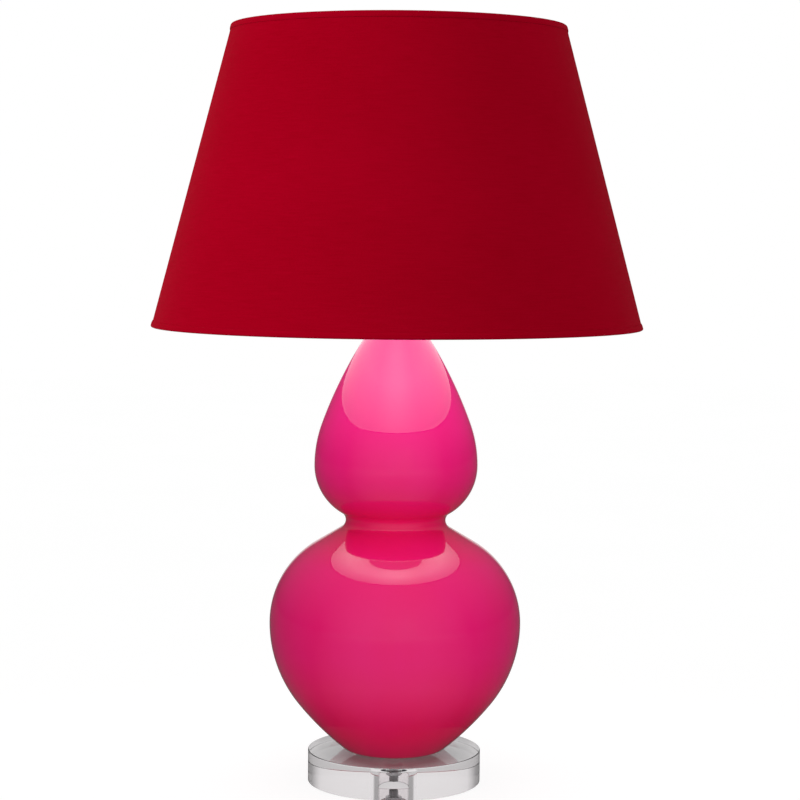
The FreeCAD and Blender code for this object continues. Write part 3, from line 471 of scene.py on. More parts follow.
def rod_thread(turn, height, radius):
    """The rod's thread, cut at both ends of the outside only."""
    low = thread(FINE_PITCH, ROD_THREAD, ROD_LOW, ROD_LOW_RUNOUT)(turn, height, radius)
    high = thread(FINE_PITCH, ROD_THREAD, ROD_HIGH_RUNOUT, ROD_HIGH)(turn, height, radius)
    return np.where(radius > ROD_END_RADIUS + 0.0001, low + high, 0)


piece("threaded_rod", turned(rod_line, 36, rod_thread), STEEL, "root", "steel", "lamp_pipe")

WASHER_BORE, WASHER_RADIUS = 0.00535, 0.009
NUT_FLATS, NUT_EDGE, NUT_RIM, NUT_LOW, NUT_HIGH = 0.0143, 0.0065, 0.00008, 0.0108, 0.0148
washer_line = eased([(WASHER_BORE, NUT_HIGH), (WASHER_RADIUS, NUT_HIGH), (WASHER_RADIUS, COUNTER_TOP),
                     (WASHER_BORE, COUNTER_TOP)], 0.00025)
piece("foot_washer", turned(washer_line, 72), STEEL, "root", "steel", "base_washer")


def hexagon(turn, height, radius):
    """Six flats: the outside, which is the line beyond NUT_EDGE, follows half the flats over
    cos(a mod 60 - 30 degrees), and its corners are cut by a 30 degree cone at each end, which starts NUT_RIM
    outside the flats."""
    flat = NUT_FLATS / 2 / np.cos(turn % (math.pi / 3) - math.pi / 6)
    end = np.minimum(height - NUT_LOW, NUT_HIGH - height)
    chamfer = NUT_FLATS / 2 + NUT_RIM + end / math.tan(math.radians(30))
    return np.where(radius > NUT_EDGE, np.minimum(flat, chamfer) - radius, 0)


nut_heights = NUT_LOW + (NUT_HIGH - NUT_LOW) * np.array([0, 0.05, 0.1, 0.16, 0.25, 0.5, 0.75, 0.84, 0.9, 0.95, 1])
nut_line = np.concatenate((
    [(0.0053, NUT_LOW + 0.0004), (0.0058, NUT_LOW)],
    np.stack((np.full(len(nut_heights), 0.007), nut_heights), axis=1),
    [(0.0058, NUT_HIGH), (0.0053, NUT_HIGH - 0.0004)],
))
piece("foot_nut", turned(nut_line, 144, hexagon), STEEL, "root", "steel", "base_nut")


# ---------------------------------------------------------------- ceramic body and grommet

GOURD_BORE, FLOOR_TOP = 0.00625, 0.03875
# both sides of the wall, from the foot through the waist to the mouth
outside = traced([
    (0.0480, FOOT_TOP), (0.0971912, 0.0806406, 0.2983), (0.1248, 0.1597, 0.127), (0.0796077, 0.2395772, 0.0931874),
    (0.0537737, 0.2550998), (0.0497, WAIST_HEIGHT, -0.0084), (0.0538668, 0.2695554, -0.0084),
    (0.081, 0.3168, 0.0546981), (0.0735822, 0.3588685, 0.123), (0.0195, GOURD_TOP, 0.4361127),
])
inside = traced([
    (0.047161, FLOOR_TOP), (0.0924956, 0.0843757, 0.2923), (0.1188, 0.1597, 0.121), (0.0765174, 0.2344342, 0.0871874),
    (0.0506835, 0.2499568), (0.0437, WAIST_HEIGHT, -0.0144), (0.0508432, 0.2747378, -0.0144),
    (0.075, 0.3168, 0.0486981), (0.067944, 0.3568164, 0.117), (0.0121182, GOURD_TOP, 0.4301127),
], steps=6)
gourd_line = np.concatenate((
    [(GOURD_BORE, FOOT_TOP + 0.0001), (0.0452, FOOT_TOP + 0.0001), (0.0462, FOOT_TOP + 0.0002),
     (0.0472, FOOT_TOP + 0.0006)],
    outside[outside[:, 1] > FOOT_TOP + 0.0012], inside[::-1], [(GOURD_BORE, FLOOR_TOP)],
))
piece("gourd", turned(gourd_line, 288), GLAZE, "root", "pink_glaze", "gourd_body")

grommet_line = eased(
    [(0.0036, -0.010), (0.0052, -0.010), (0.0052, 0.0001), (0.008, 0.0001), (0.008, 0.0016), (0.0062, 0.0025),
     (0.0036, 0.0025)],
    [0.0003, 0.0003, 0, 0.0004, 0.0007, 0.0009, 0.0009],
)
CORD_EXIT = (0, 0.074669, 0.055406)
points, quads = turned(grommet_line, 64)
piece("cord_grommet", (along(points, CORD_EXIT, (0, 1, -1)), quads), PHENOLIC, "root", "black_phenolic",
      "cord_bushing")


# ---------------------------------------------------------------- neck, socket and switch

def cad_finish(finish, *nodes):
    """Gives CAD nodes that stay as they are a finish of their own."""
    for node in nodes:
        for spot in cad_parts[node].material_slots:
            spot.material = finish


dome_low, dome_high = (corner[2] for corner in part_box("vase_cap"))
dome_line = eased(
    [(0.0218, dome_low), (0.023, dome_low), (0.023, dome_low + 0.0032), (0.0145, dome_high - 0.0012),
     (0.0108, dome_high), (0.0052, dome_high), (0.0052, dome_high - 0.0012), (0.0105, dome_high - 0.0012),
     (0.0218, dome_low + 0.0026)],
    [0.0004, 0.0004, 0.0016, 0.003, 0.001, 0.0003, 0.0003, 0.001, 0.001],
)
piece("vase_cap_dome", turned(dome_line, 128), NICKEL, "root", "nickel", "vase_cap")

neck_low, neck_high = (corner[2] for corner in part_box("neck_tube"))
neck_line = eased(
    [(0.0053, neck_low), (0.007, neck_low), (0.007, neck_low + 0.0022), (0.0064, neck_low + 0.0030),
     (0.0064, neck_high - 0.0030), (0.007, neck_high - 0.0022), (0.007, neck_high), (0.0053, neck_high)],
    [0.0003, 0.0005, 0.0004, 0.0004, 0.0004, 0.0004, 0.0005, 0.0003],
)
piece("neck_sleeve", turned(neck_line, 72), NICKEL, "root", "nickel", "neck_tube")

shell_low, shell_high = (corner[2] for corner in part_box("socket_shell"))
shell_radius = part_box("socket_shell")[1][0]
shell_inner, shell_lip = shell_radius - 0.0008, shell_radius - 0.0024
bead_floor = shell_radius - 0.00035
shell_line = eased(
    [(shell_inner, shell_low), (shell_radius, shell_low), (shell_radius, shell_high - 0.0125),
     (bead_floor, shell_high - 0.0117), (shell_radius, shell_high - 0.0109), (shell_radius, shell_high - 0.0055),
     (bead_floor, shell_high - 0.0047), (shell_radius, shell_high - 0.0039), (shell_radius, shell_high),
     (shell_lip, shell_high), (shell_lip, shell_high - 0.0008), (shell_inner, shell_high - 0.0008)],
    [0, 0.0003, 0.0003, 0.0003, 0.0003, 0.0003, 0.0003, 0.0003, 0.0008, 0.0003, 0.0003, 0.0003],
)
piece("socket_sleeve", turned(shell_line, 128), BRUSHED, "root", "nickel", "socket_shell")

base_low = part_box("socket_cap")[0][2]
socket_cap_line = eased(
    [(0.0052, base_low), (0.00775, base_low), (0.00775, base_low + 0.0082), (0.019, base_low + 0.0142),
     (0.019, base_low + 0.023), (0.0182, base_low + 0.023), (0.0182, base_low + 0.015),
     (0.00775, base_low + 0.009), (0.0052, base_low + 0.009)],
    [0.0003, 0.0005, 0.0012, 0.0022, 0.0003, 0.0003, 0.0014, 0.0010, 0.0002],
)
piece("socket_base_cap", turned(socket_cap_line, 128), BRUSHED, "root", "nickel", "socket_cap")

KNOB_START, KNOB_END = 0.0245, 0.0385
KNOB_BORE, KNOB_RADIUS, KNOB_ROWS = 0.00203, 0.0052, 22
GRIP_DEPTH, GRIP_FADE = 0.00035, 0.0006


def knurl(turn, height, radius):
    """Twenty-four grip grooves: the radius drops by GRIP_DEPTH times the fourth power of cos(12 a), and they fade
    out over GRIP_FADE near both ends of the knob's side."""
    start = np.clip((height - KNOB_START - 0.0012) / GRIP_FADE, 0, 1)
    end = np.clip((KNOB_END - 0.0018 - height) / GRIP_FADE, 0, 1)
    return np.where(radius > 0.0045, -GRIP_DEPTH * (start * end) * np.cos(12 * turn) ** 4, 0)


knob_side = np.linspace(KNOB_START + 0.0009, KNOB_END - 0.0012, KNOB_ROWS)
knob_line = np.concatenate((
    [(KNOB_BORE, KNOB_START), (0.0040, KNOB_START), (0.0048, KNOB_START + 0.0002), (0.00511, KNOB_START + 0.0005)],
    np.stack((np.full(KNOB_ROWS, KNOB_RADIUS), knob_side), axis=1),
    [(0.0050, KNOB_END - 0.0007), (0.0045, KNOB_END - 0.0003), (0.0037, KNOB_END - 0.00005),
     (0, KNOB_END - 0.0003), (0, KNOB_END - 0.003), (KNOB_BORE, KNOB_END - 0.003)],
))
points, quads = turned(knob_line, 192, knurl)
piece("turn_knob", (along(points, (0, 0, SWITCH_HEIGHT), (0, -1, 0)), quads), PHENOLIC, "switch",
      "black_phenolic", "switch_knob")

cad_finish(NICKEL, "harp_saddle")
cad_finish(STEEL, "set_screw")
cad_finish(BRASS, "terminal_screws", "screw_shell", "centre_contact", "switch_spindle")
cad_finish(FIBRE, "socket_insulator")
cad_finish(PHENOLIC, "socket_interior")


# ---------------------------------------------------------------- bulb

CAP_RADIUS, CAP_INNER, CAP_ROWS = 0.0130, 0.0116, 64
CAP_PITCH, CAP_THREAD = 0.003629, 0.0009
cap_low, cap_high = (corner[2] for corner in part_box("bulb_cap"))
cap_side = np.linspace(cap_low + 0.0024, cap_high - 0.0008, CAP_ROWS)
cap_line = np.concatenate((
    [(0.0094, cap_low), (0.0100, cap_low), (0.0112, cap_low + 0.0009), (0.0122, cap_low + 0.0016)],
    np.stack((np.full(CAP_ROWS, CAP_RADIUS), cap_side), axis=1),
    [(0.0128, cap_high), (0.0124, cap_high), (CAP_INNER, cap_high - 0.0030), (CAP_INNER, cap_low + 0.0024)],
))


def cap_thread(turn, height, radius):
    """The bulb cap's rolled thread, seven turns to the inch, in its side only."""
    cut = thread(CAP_PITCH, CAP_THREAD, cap_low + 0.001, cap_high)(turn, height, radius)
    return np.where(radius > CAP_RADIUS - 0.0001, cut, 0)


piece("bulb_screw_cap", turned(cap_line, 96, cap_thread), ALUMINIUM, "bulb", "cap_aluminium", "bulb_cap")

GLOBE, GLASS_OUT, GLASS_WALL, GLOBE_HEIGHT, FLARE = 0.030, 0.0122, 0.0008, 0.610, 0.060
glass_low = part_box("bulb_globe")[0][2]
flare_x, flare_span = GLASS_OUT + FLARE, GLOBE + FLARE
flare_rise = math.sqrt(flare_span ** 2 - flare_x ** 2)


def globe_side(depth):
    """The bulb's side a depth inside its glass: neck, flare and ball, each tangent to the next."""
    ball = GLOBE - depth
    return traced([
        (GLASS_OUT - depth, glass_low), (GLASS_OUT - depth, GLOBE_HEIGHT - flare_rise),
        (flare_x * ball / flare_span, GLOBE_HEIGHT - flare_rise * ball / flare_span, -FLARE - depth),
        (0, GLOBE_HEIGHT + ball, ball),
    ], steps=40)


globe_line = on_axis(np.concatenate((globe_side(0), globe_side(GLASS_WALL)[::-1])))
piece("bulb_glass", turned(globe_line, 128), FROSTED, "bulb", "frosted_glass", "bulb_globe")
cad_finish(SOLDER, "bulb_contact")
cad_finish(VITRITE, "bulb_insulator")
cad_finish(STEM_GLASS.material, "bulb_mount")
cad_finish(TUNGSTEN, "bulb_filament")


# ---------------------------------------------------------------- harp, swivel and finial

LEG, SPREAD, CORNER, BEND, HARP_WIRE = 0.030, 0.055, 0.046, 0.04225, 0.0018
leg_low = SADDLE_TOP + 0.0107
half_bow = traced([
    (LEG, leg_low), (LEG, leg_low + 0.023), (LEG + 0.0125, leg_low + 0.053, -BEND), (SPREAD, leg_low + 0.083, BEND),
    (SPREAD, HARP_TOP - CORNER), (SPREAD - CORNER, HARP_TOP, CORNER),
], steps=20)
bow = np.concatenate((half_bow, (half_bow * (-1, 1))[::-1]))
lug_line = eased(
    [(0.00208, HARP_TOP - 0.0025), (0.0055, HARP_TOP - 0.0025), (0.0055, HARP_TOP + 0.0025),
     (0.00208, HARP_TOP + 0.0025)],
    [0.0003, 0.0008, 0.0008, 0.0003],
)
piece("harp_wire", joined(tube(bow, HARP_WIRE), turned(lug_line, 64)), NICKEL, "harp", "nickel", "harp_bow")

for side, sign in (("left", -1), ("right", 1)):
    low, high = (corner[2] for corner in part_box(f"ferrule_{side}"))
    sleeve_line = eased(
        [(0.0028, low), (0.0038, low), (0.0038, low + 0.0025), (0.0034, low + 0.0031), (0.0034, high - 0.0031),
         (0.0038, high - 0.0025), (0.0038, high), (0.0028, high)],
        [0.0002, 0.0004, 0.0003, 0.0003, 0.0003, 0.0003, 0.0004, 0.0002],
    )
    points, quads = turned(sleeve_line, 64)
    piece(f"harp_ferrule_{side}", (points + (sign * LEG, 0, 0), quads), NICKEL, f"ferrule_{side}", "nickel",
          f"ferrule_{side}")

stud_low, stud_high = (corner[2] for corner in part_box("harp_stud"))
STUD_RADIUS, STUD_THREAD, STUD_ROWS = 0.003175, 0.0005, 90
THREAD_LOW = HUB_TOP - 0.0017
stud_side = np.linspace(HUB_TOP - 0.0018, stud_high - 0.0006, STUD_ROWS)
stud_line = np.concatenate((
    [(0, stud_low), (0.0032, stud_low), (0.0035, stud_low + 0.0003), (0.0035, stud_low + 0.0009),
     (0.0032, stud_low + 0.0012), (0.002, stud_low + 0.0012), (0.002, HARP_TOP + 0.0028),
     (0.0061, HARP_TOP + 0.0028), (0.0065, HARP_TOP + 0.0032), (0.0065, HARP_TOP + 0.0044),
     (0.0061, HARP_TOP + 0.0048), (0.00318, HARP_TOP + 0.0048)],
    np.stack((np.full(STUD_ROWS, STUD_RADIUS), stud_side), axis=1), [(0.0026, stud_high), (0, stud_high)],
))


def stud_thread(turn, height, radius):
    """The quarter-inch thread that holds the shade's hub and the finial."""
    cut = thread(FINE_PITCH, STUD_THREAD, THREAD_LOW, stud_high)(turn, height, radius)
    return np.where(height > THREAD_LOW, cut, 0)


piece("swivel_stud", turned(stud_line, 48, stud_thread, closed=False), NICKEL, "swivel", "nickel", "harp_stud")

BALL, FINIAL_NECK, FINIAL_BORE, SEAT_GAP = 0.0085, 0.0048, 0.00328, 0.00002
finial_top = HUB_TOP + 0.027
finial_foot = eased(
    [(FINIAL_BORE, HUB_TOP + SEAT_GAP), (0.0065, HUB_TOP + SEAT_GAP), (0.0065, HUB_TOP + 0.003),
     (FINIAL_NECK, HUB_TOP + 0.0036)],
    [0, 0.0005, 0.0012, 0.0006],
)
ball_start = finial_top - BALL - math.sqrt(BALL ** 2 - FINIAL_NECK ** 2)
finial_line = on_axis(np.concatenate((
    finial_foot, traced([(FINIAL_NECK, ball_start), (0, finial_top, BALL)], steps=48),
    [(0, HUB_TOP + 0.0135), (FINIAL_BORE, HUB_TOP + 0.0125)],
)))
piece("ball_finial", turned(finial_line, 96), NICKEL, "finial", "nickel", "finial")


# ---------------------------------------------------------------- shade

def cone(height, depth=0.0):
    """The radius, at a height, a depth inside the shade's outer face: it shrinks evenly as the height grows."""
    share = (height - SHADE_LOW) / (SHADE_HIGH - SHADE_LOW)
    return SHADE_LOW_RADIUS + (SHADE_HIGH_RADIUS - SHADE_LOW_RADIUS) * share - depth


def lay_cloth(made, around=None):
    """The cloth's flat coordinates: u is the turn times the shade's mean radius, kept whole across each face, and v
    is the slant height less what the point stands out from the cone, so that the weave follows a fold."""
    mesh = made.data
    place = np.empty(len(mesh.vertices) * 3)
    mesh.vertices.foreach_get("co", place)
    x, y, z = place.reshape(-1, 3).T
    corner = np.empty(len(mesh.loops), np.int32)
    mesh.loops.foreach_get("vertex_index", corner)
    counts = np.empty(len(mesh.polygons), np.int32)
    mesh.polygons.foreach_get("loop_total", counts)
    turn = (np.arctan2(y, x) if around is None else around)[corner]
    lead = np.repeat(turn[np.concatenate(([0], np.cumsum(counts)[:-1]))], counts)
    turn = turn - 2 * math.pi * np.round((turn - lead) / (2 * math.pi))
    rise = (z * SLANT / (SHADE_HIGH - SHADE_LOW) - (np.hypot(x, y) - cone(z)))[corner]
    flat = np.stack((turn * (SHADE_LOW_RADIUS + SHADE_HIGH_RADIUS) / 2, rise), axis=1)
    mesh.uv_layers.new(name="cloth").data.foreach_set("uv", flat.astype(np.float32).ravel())


cloth_low, cloth_high = (corner[2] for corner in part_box("shade_fabric"))
LAP, CLOTH_SHEET, BOND, LAP_GAP = 0.011, 0.0004, 0.0001, 0.00008
ROWS, COLUMNS = 56, 400


def cloth_sheet():
    """The cloth's middle face and the turn at each point: at turn a and height z it lies at (r cos a, r sin a, z),
    where r is the cone's radius less the bond and half the cloth. It starts and ends at the back, and over its end,
    the lap, r grows by the cloth and the lap's gap times t^2 (3 - 2 t), with t from 0 to 1."""
    height = np.linspace(cloth_low, cloth_high, ROWS)[:, None]
    lap_turn = LAP / cone(height)
    share = np.concatenate((np.linspace(0, 0.008, 9)[:-1], np.linspace(0.008, 0.992, COLUMNS - 16),
                            np.linspace(0.992, 1, 9)[1:]))[None, :]
    turn = math.pi / 2 - lap_turn / 2 + share * (2 * math.pi + lap_turn)
    lift = np.clip(((share - 1) * (2 * math.pi + lap_turn) / lap_turn + 1.5) * 2.5, 0, 1)
    radius = cone(height, CLOTH_SHEET / 2 + BOND) + (CLOTH_SHEET + LAP_GAP) * lift * lift * (3 - 2 * lift)
    points = np.stack((radius * np.cos(turn), radius * np.sin(turn), height + 0 * turn), axis=-1)
    return points.reshape(-1, 3), turn.ravel()


sheet_points, sheet_turns = cloth_sheet()
cloth = piece("shade_cloth", (sheet_points, grid_faces(ROWS, COLUMNS, False, False)), CRIMSON, "shade",
              "crimson_fabric", "shade_fabric", merge=False)
lay_cloth(cloth, sheet_turns)
wall = cloth.modifiers.new("cloth_sheet", "SOLIDIFY")
wall.thickness = CLOTH_SHEET
wall.offset = 0

LINER_OUT, LINER_SHEET = 0.0007, 0.0008
liner_rise = cloth_low + (cloth_high - cloth_low) * np.linspace(0, 1, 26)[:, None]
outer_side = np.concatenate((cone(liner_rise, LINER_OUT), liner_rise), axis=1)
inner_side = np.concatenate((cone(liner_rise, LINER_OUT + LINER_SHEET), liner_rise), axis=1)[::-1]
piece("shade_liner_cone", turned(np.concatenate((outer_side, inner_side)), 288), LINER, "shade", "white_liner",
      "shade_liner")

TRIM_SHEET, TRIM_BAND, TRIM_LEG = 0.0007, 0.006, 0.004
TRIM_TAPER, TRIM_END = 0.0016, 0.00025
LEG_DEPTH = 0.0045


def trim_line(edge, way):
    """The section of the cloth strip folded over a rim: a band outside, a round fold and a leg inside. way is 1 for
    the low rim and -1 for the high one, and the strip's ends are eased, with the band's fold a full round."""
    fold, band_end, leg_end = edge + way * TRIM_SHEET, edge + way * TRIM_BAND, edge + way * (TRIM_SHEET + TRIM_LEG)
    taper = band_end - way * TRIM_TAPER
    line = [
        (cone(edge, -BOND - TRIM_SHEET), edge), (cone(taper, -BOND - TRIM_SHEET), taper),
        (cone(band_end, -BOND - TRIM_END), band_end), (cone(band_end, -BOND), band_end), (cone(fold, -BOND), fold),
        (cone(fold, LEG_DEPTH), fold),
        (cone(leg_end, LEG_DEPTH), leg_end), (cone(leg_end, LEG_DEPTH + TRIM_SHEET), leg_end),
        (cone(edge, LEG_DEPTH + TRIM_SHEET), edge),
    ]
    easing = [0.0022, 0.0030, 0.0001, 0.0, 0.0002, 0.0002, 0.0003, 0.0003, 0.0016]
    line = eased(line, easing, steps=6)
    return line if way > 0 else line[::-1]


for name, edge, way in (("low", SHADE_LOW, 1), ("high", SHADE_HIGH, -1)):
    strip = piece(f"shade_trim_{name}", turned(trim_line(edge, way), 400), CRIMSON, "shade", "crimson_fabric",
                  "trim_bottom" if way > 0 else "trim_top")
    lay_cloth(strip)

RING_WIRE, ARM_WIRE, HUB_BORE, HUB_RADIUS = 0.0013, 0.0016, 0.004, 0.013
RING_SIDES = 16
section = np.arange(RING_SIDES) * 2 * math.pi / RING_SIDES
for name, node, finish, slot in (("low", "bottom_ring", STEEL, "steel"), ("high", "top_ring", COATED, "white_wire")):
    low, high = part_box(node)
    centre = (high[0] - RING_WIRE, (low[2] + high[2]) / 2)
    ring_line = np.array(centre) + RING_WIRE * np.stack((np.cos(section), np.sin(section)), axis=1)
    piece(f"shade_ring_{name}", turned(ring_line, 256), finish, "shade", slot, node)

hub_line = eased([(HUB_BORE, HUB_TOP - 0.002), (HUB_RADIUS, HUB_TOP - 0.002), (HUB_RADIUS, HUB_TOP),
                  (HUB_BORE, HUB_TOP)], 0.0005)
piece("spider_hub_ring", turned(hub_line, 96), COATED, "shade", "white_wire", "spider_hub")

top_ring_low, top_ring_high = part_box("top_ring")
ring_radius, ring_height = top_ring_high[0] - RING_WIRE, (top_ring_low[2] + top_ring_high[2]) / 2
arm_start = np.array([HUB_RADIUS + 0.0001, HUB_TOP - 0.001])
arm_end = np.array([ring_radius - 0.0012, ring_height - 0.0004])
arm_path = arm_start + (arm_end - arm_start) * np.linspace(0, 1, 24)[:, None]
arms = [tube(arm_path, ARM_WIRE, azimuth) for azimuth in (0, 2 * math.pi / 3, 4 * math.pi / 3)]
piece("spider_arm_set", joined(*arms), COATED, "shade", "white_wire", "spider_arms")


# ---------------------------------------------------------------- camera, floor and light

def look(name, data, place, target, roll=0.0):
    """A camera or lamp at a place, facing a target, rolled about its own line of sight."""
    seer = bpy.data.objects.new(name, data)
    bpy.context.scene.collection.objects.link(seer)
    facing = (Vector(target) - Vector(place)).to_track_quat("-Z", "Y").to_matrix().to_4x4()
    seer.matrix_world = Matrix.Translation(place) @ facing @ Matrix.Rotation(roll, 4, "Z")
    return seer


EYE_SIDE, EYE_DISTANCE, EYE_HEIGHT = 0.0035, 2.2, 0.555
FOCAL_MM, SENSOR_MM = 100.35, 36
LOOK_DOWN, ROLL = math.radians(4.51), math.radians(0.42)
lens = bpy.data.cameras.new("camera")
lens.lens, lens.sensor_width = FOCAL_MM, SENSOR_MM
lens.clip_start, lens.clip_end = 0.05, 50
eye = (EYE_SIDE, -EYE_DISTANCE, EYE_HEIGHT)
aim = (EYE_SIDE, 0, EYE_HEIGHT - EYE_DISTANCE * math.tan(LOOK_DOWN))
bpy.context.scene.camera = look("camera", lens, eye, aim, ROLL)


def softbox(name, place, target, width, height, watts):
    """A rectangular lamp that faces a target."""
    lamp = bpy.data.lights.new(name, "AREA")
    lamp.shape, lamp.size, lamp.size_y, lamp.energy = "RECTANGLE", width, height, watts
    return look(name, lamp, place, target)


def lit_only(lamp, name, objects):
    """Keeps a lamp's light to some of the pieces, as a flag on its stand would."""
    group = bpy.data.collections.new(name)
    for item in objects:
        group.objects.link(item)
    lamp.light_linking.receiver_collection = group


cloth_pieces = [bpy.data.objects[name] for name in ("shade_cloth", "shade_trim_low", "shade_trim_high")]
others = [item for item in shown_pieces() if item not in cloth_pieces]
BODY_MIDDLE, SHADE_MIDDLE = (0, 0, 0.28), (0, 0, 0.6)
front = softbox("front_softbox", (0.15, -2.5, 0.48), BODY_MIDDLE, width=1.5, height=1.2, watts=29.5)
left = softbox("left_softbox", (-2.0, -1.15, 1.5), SHADE_MIDDLE, width=1.0, height=1.4, watts=38.5)
right = softbox("right_softbox", (1.75, -1.45, 1.3), SHADE_MIDDLE, width=1.0, height=1.4, watts=12.5)
for lamp in (front, left, right):
    lamp.visible_glossy = lamp.visible_transmission = False
lit_only(front, "lit_from_front", others)
lit_only(left, "lit_from_left", cloth_pieces)
lit_only(right, "lit_from_right", cloth_pieces)

GLOW_WIDTH, GLOW_WATTS = 0.468, 0.55
glow = bpy.data.lights.new("shade_glow", "AREA")
glow.shape, glow.size, glow.energy = "DISK", GLOW_WIDTH, GLOW_WATTS
shade_glow = look("shade_glow", glow, (0, 0, SHADE_LOW + 0.002), (0, 0, 0))
shade_glow.visible_camera = shade_glow.visible_glossy = shade_glow.visible_transmission = False


def gloss_only(name, line, sides, finish):
    """A turned stage piece that only gloss rays see."""
    made = bpy.data.objects.new(name, mesh_of(name, *turned(line, sides, closed=False)))
    bpy.context.scene.collection.objects.link(made)
    made.visible_camera = made.visible_diffuse = made.visible_transmission = made.visible_shadow = False
    made.data.materials.append(finish)


def lit_lining():
    """The lit inside of the shade as the glaze mirrors it: a thin cone just within the liner. A ray starts at where
    it meets the cone plus its own length back along itself, and one that starts above the gourd's mouth, as on the
    harp's metal, goes through. The light has a brighter edge at the rim, grows up to a third of the height, and
    falls off towards the top and the sides."""
    glowing = Finish("lit_lining")
    where = glowing.node("ShaderNodeSeparateXYZ", {0: glowing.place()})
    height = where.outputs["Z"]
    edge = glowing.spread(height, 0.35, 0.0, SHADE_LOW + 0.003, SHADE_LOW + 0.007)
    wall = glowing.spread(height, 1.45, 3.2, SHADE_LOW, SHADE_LOW + 0.11)
    top = glowing.spread(height, 0.0, -0.6, SHADE_LOW + 0.19, SHADE_LOW + 0.285)
    aside = glowing.spread(glowing.math("ABSOLUTE", where.outputs["X"], 0), 1.0, 0.78, 0.03, 0.13)
    strength = glowing.add(edge, glowing.math("MULTIPLY", glowing.add(wall, top), aside))
    light = glowing.node("ShaderNodeEmission", {"Strength": strength})
    spot = glowing.node("ShaderNodeNewGeometry", {}).outputs
    length = glowing.node("ShaderNodeLightPath", {}).outputs["Ray Length"]
    start = glowing.node("ShaderNodeVectorMath", {0: spot["Incoming"], 1: length, 2: spot["Position"]},
                         operation="MULTIPLY_ADD")
    start_height = glowing.node("ShaderNodeSeparateXYZ", {0: start.outputs[0]}).outputs["Z"]
    from_metal = glowing.spread(start_height, 0.0, 1.0, GOURD_TOP + 0.0002, GOURD_TOP + 0.0004)
    glowing.show(glowing.blend(from_metal, light, glowing.node("ShaderNodeBsdfTransparent", {})))
    rise = np.linspace(SHADE_LOW + 0.001, SHADE_HIGH - 0.008, 12)[:, None]
    gloss_only("lit_lining", np.concatenate((cone(rise, 0.0055), rise), axis=1), 192, glowing.material)


def dark_card():
    """The foot's top as the glaze above mirrors it: dim, because the body shades it, and clear from below."""
    shaded = Finish("dark_card")
    dim = shaded.node("ShaderNodeEmission", {"Strength": shaded.spread(shaded.noise(shaded.place(), 20), 0.05, 0.07)})
    below = shaded.node("ShaderNodeNewGeometry", {}).outputs["Backfacing"]
    shaded.show(shaded.blend(below, dim, shaded.node("ShaderNodeBsdfTransparent", {})))
    ring = np.array([(FOOT_RADIUS, FOOT_TOP + 0.0002), (0.0485, FOOT_TOP + 0.0002)])
    gloss_only("dark_card", ring, 128, shaded.material)


lit_lining()
dark_card()

FLOOR_HALF, FLOOR_DROP = 6.0, 0.0002


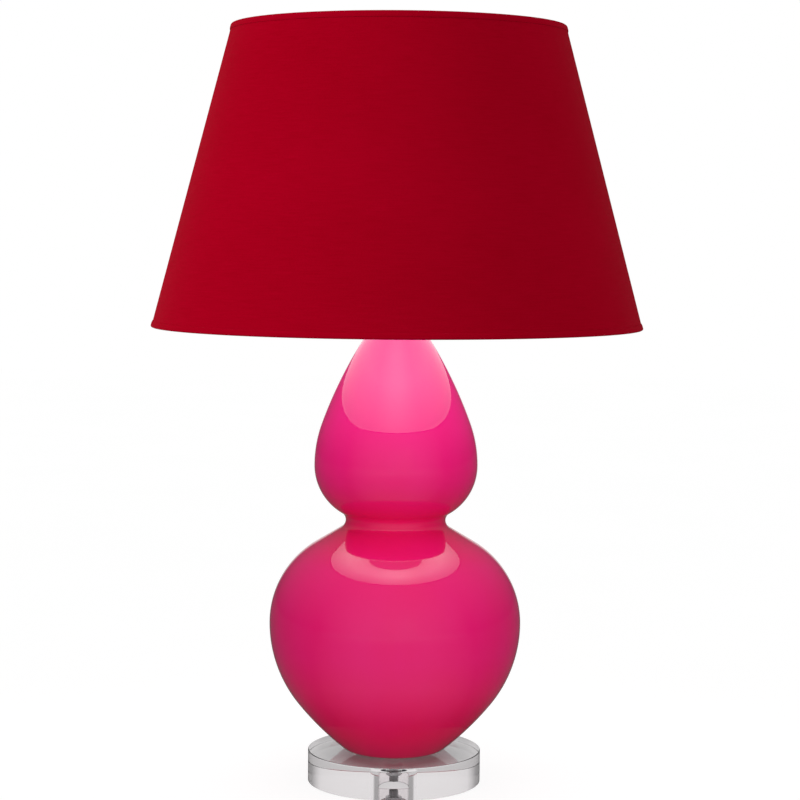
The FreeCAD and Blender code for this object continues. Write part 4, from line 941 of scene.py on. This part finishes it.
def backdrop():
    """A wide pale floor. The camera sees it nearly white with the object's shadow kept. Glass sees it half white, but
    for a dim ring under the foot outside its bore, a painted shadow of the body. Gloss sees it pale in front, white
    far behind, where it meets the wall, and dim elsewhere, with a painted shadow that dims it more near the foot."""
    corners = FLOOR_HALF * np.array([(-1, -1, 0), (1, -1, 0), (1, 1, 0), (-1, 1, 0)], float)
    floor = bpy.data.objects.new("floor", mesh_of("floor", corners - (0, 0, FLOOR_DROP), np.array([[0, 1, 2, 3]])))
    bpy.context.scene.collection.objects.link(floor)
    paper = Finish("white_paper", Roughness=0.9, Specular_IOR_Level=0.0)
    rays = paper.node("ShaderNodeLightPath", {})
    mirrored = rays.outputs["Is Glossy Ray"]
    grain = paper.spread(paper.noise(paper.place(), 3), -0.02, 0.02)
    paper.feed("Base Color", paper.add(paper.spread(mirrored, 0.80, 0.03, 0, 1), grain))
    where = paper.node("ShaderNodeSeparateXYZ", {0: paper.place()})
    across, ahead = where.outputs["X"], paper.math("MULTIPLY", where.outputs["Y"], -1)
    squares = paper.add(paper.math("MULTIPLY", across, across), paper.math("MULTIPLY", ahead, ahead))
    away = paper.math("SQRT", squares, 0)
    # 1 straight in front of the lamp and -1 straight behind it
    facing = paper.math("DIVIDE", ahead, away)
    front = paper.spread(facing, 0.0, 1.0, 0.3, 0.9)
    behind = paper.spread(facing, 1.0, 0.0, -0.995, -0.955)
    bright = paper.math("MULTIPLY", front, paper.spread(away, 0.20, 0.34, 0.8, 2.5))
    wall = paper.math("MULTIPLY", behind, paper.spread(away, 0.0, 0.75, 0.7, 2.0))
    # painted shadow: gloss sees the floor dimmed round the foot, where the lamp's shadow falls
    near = paper.spread(away, 0.12, 1.0, 0.085, 0.20)
    gloss = paper.math("MULTIPLY", paper.add(bright, wall, 0.07), near)
    in_bore = paper.spread(away, 0.5, 0.0, COUNTERBORE - 0.0006, COUNTERBORE)
    # painted shadow: glass sees a dim ring under the foot, outside its bore, where the body's shadow falls
    through = paper.add(in_bore, paper.spread(away, 0.08, 0.5, 0.045, 0.085))
    seen = paper.add(paper.math("MULTIPLY", rays.outputs["Is Camera Ray"], 0.75),
                     paper.math("MULTIPLY", rays.outputs["Is Transmission Ray"], through),
                     paper.math("MULTIPLY", gloss, mirrored))
    white = paper.node("ShaderNodeEmission", {"Color": WHITE, "Strength": 1.2})
    paper.show(paper.blend(seen, paper.shader, white))
    floor.data.materials.append(paper.material)


def surroundings():
    """The studio round the lamp, by the way a ray goes: white to the camera, even and softer as light, and paler
    towards the back through glass. Gloss sees a wide pale front that fades upwards, darker sides, paler from above,
    and a white wall behind."""
    world = bpy.data.worlds.new("studio")
    bpy.context.scene.world = world
    world.use_nodes = True
    sky = Nodes(world.node_tree)

    def lit(strength):
        return sky.node("ShaderNodeBackground", {"Color": WHITE, "Strength": strength})

    rays = sky.node("ShaderNodeLightPath", {}).outputs
    way = sky.node("ShaderNodeSeparateXYZ", {0: sky.node("ShaderNodeTexCoord", {}).outputs["Generated"]})
    backward, upward = way.outputs["Y"], way.outputs["Z"]
    back = sky.spread(backward, 0.07, 1.0, 0.955, 0.995)
    fore = sky.math("MULTIPLY", sky.spread(backward, 0.34, 0.0, -0.9, -0.3), sky.spread(upward, 1.0, 0.5, 0.1, 0.7))
    mirrored = lit(sky.add(back, fore, sky.spread(upward, 0.0, 0.3, 0.0, 1.0)))
    through = lit(sky.spread(backward, 0.40, 0.84, 0.42, 0.66))
    unseen = sky.blend(rays["Is Glossy Ray"], lit(0.49), mirrored)
    unseen = sky.blend(rays["Is Transmission Ray"], unseen, through)
    sky.show(sky.blend(rays["Is Camera Ray"], unseen, lit(1.0)), "World Output")


backdrop()
surroundings()
bpy.context.scene.view_settings.view_transform = "Standard"
# light turns back inside the foot's clear block many times before it gets out
bpy.context.scene.cycles.glossy_bounces = 12
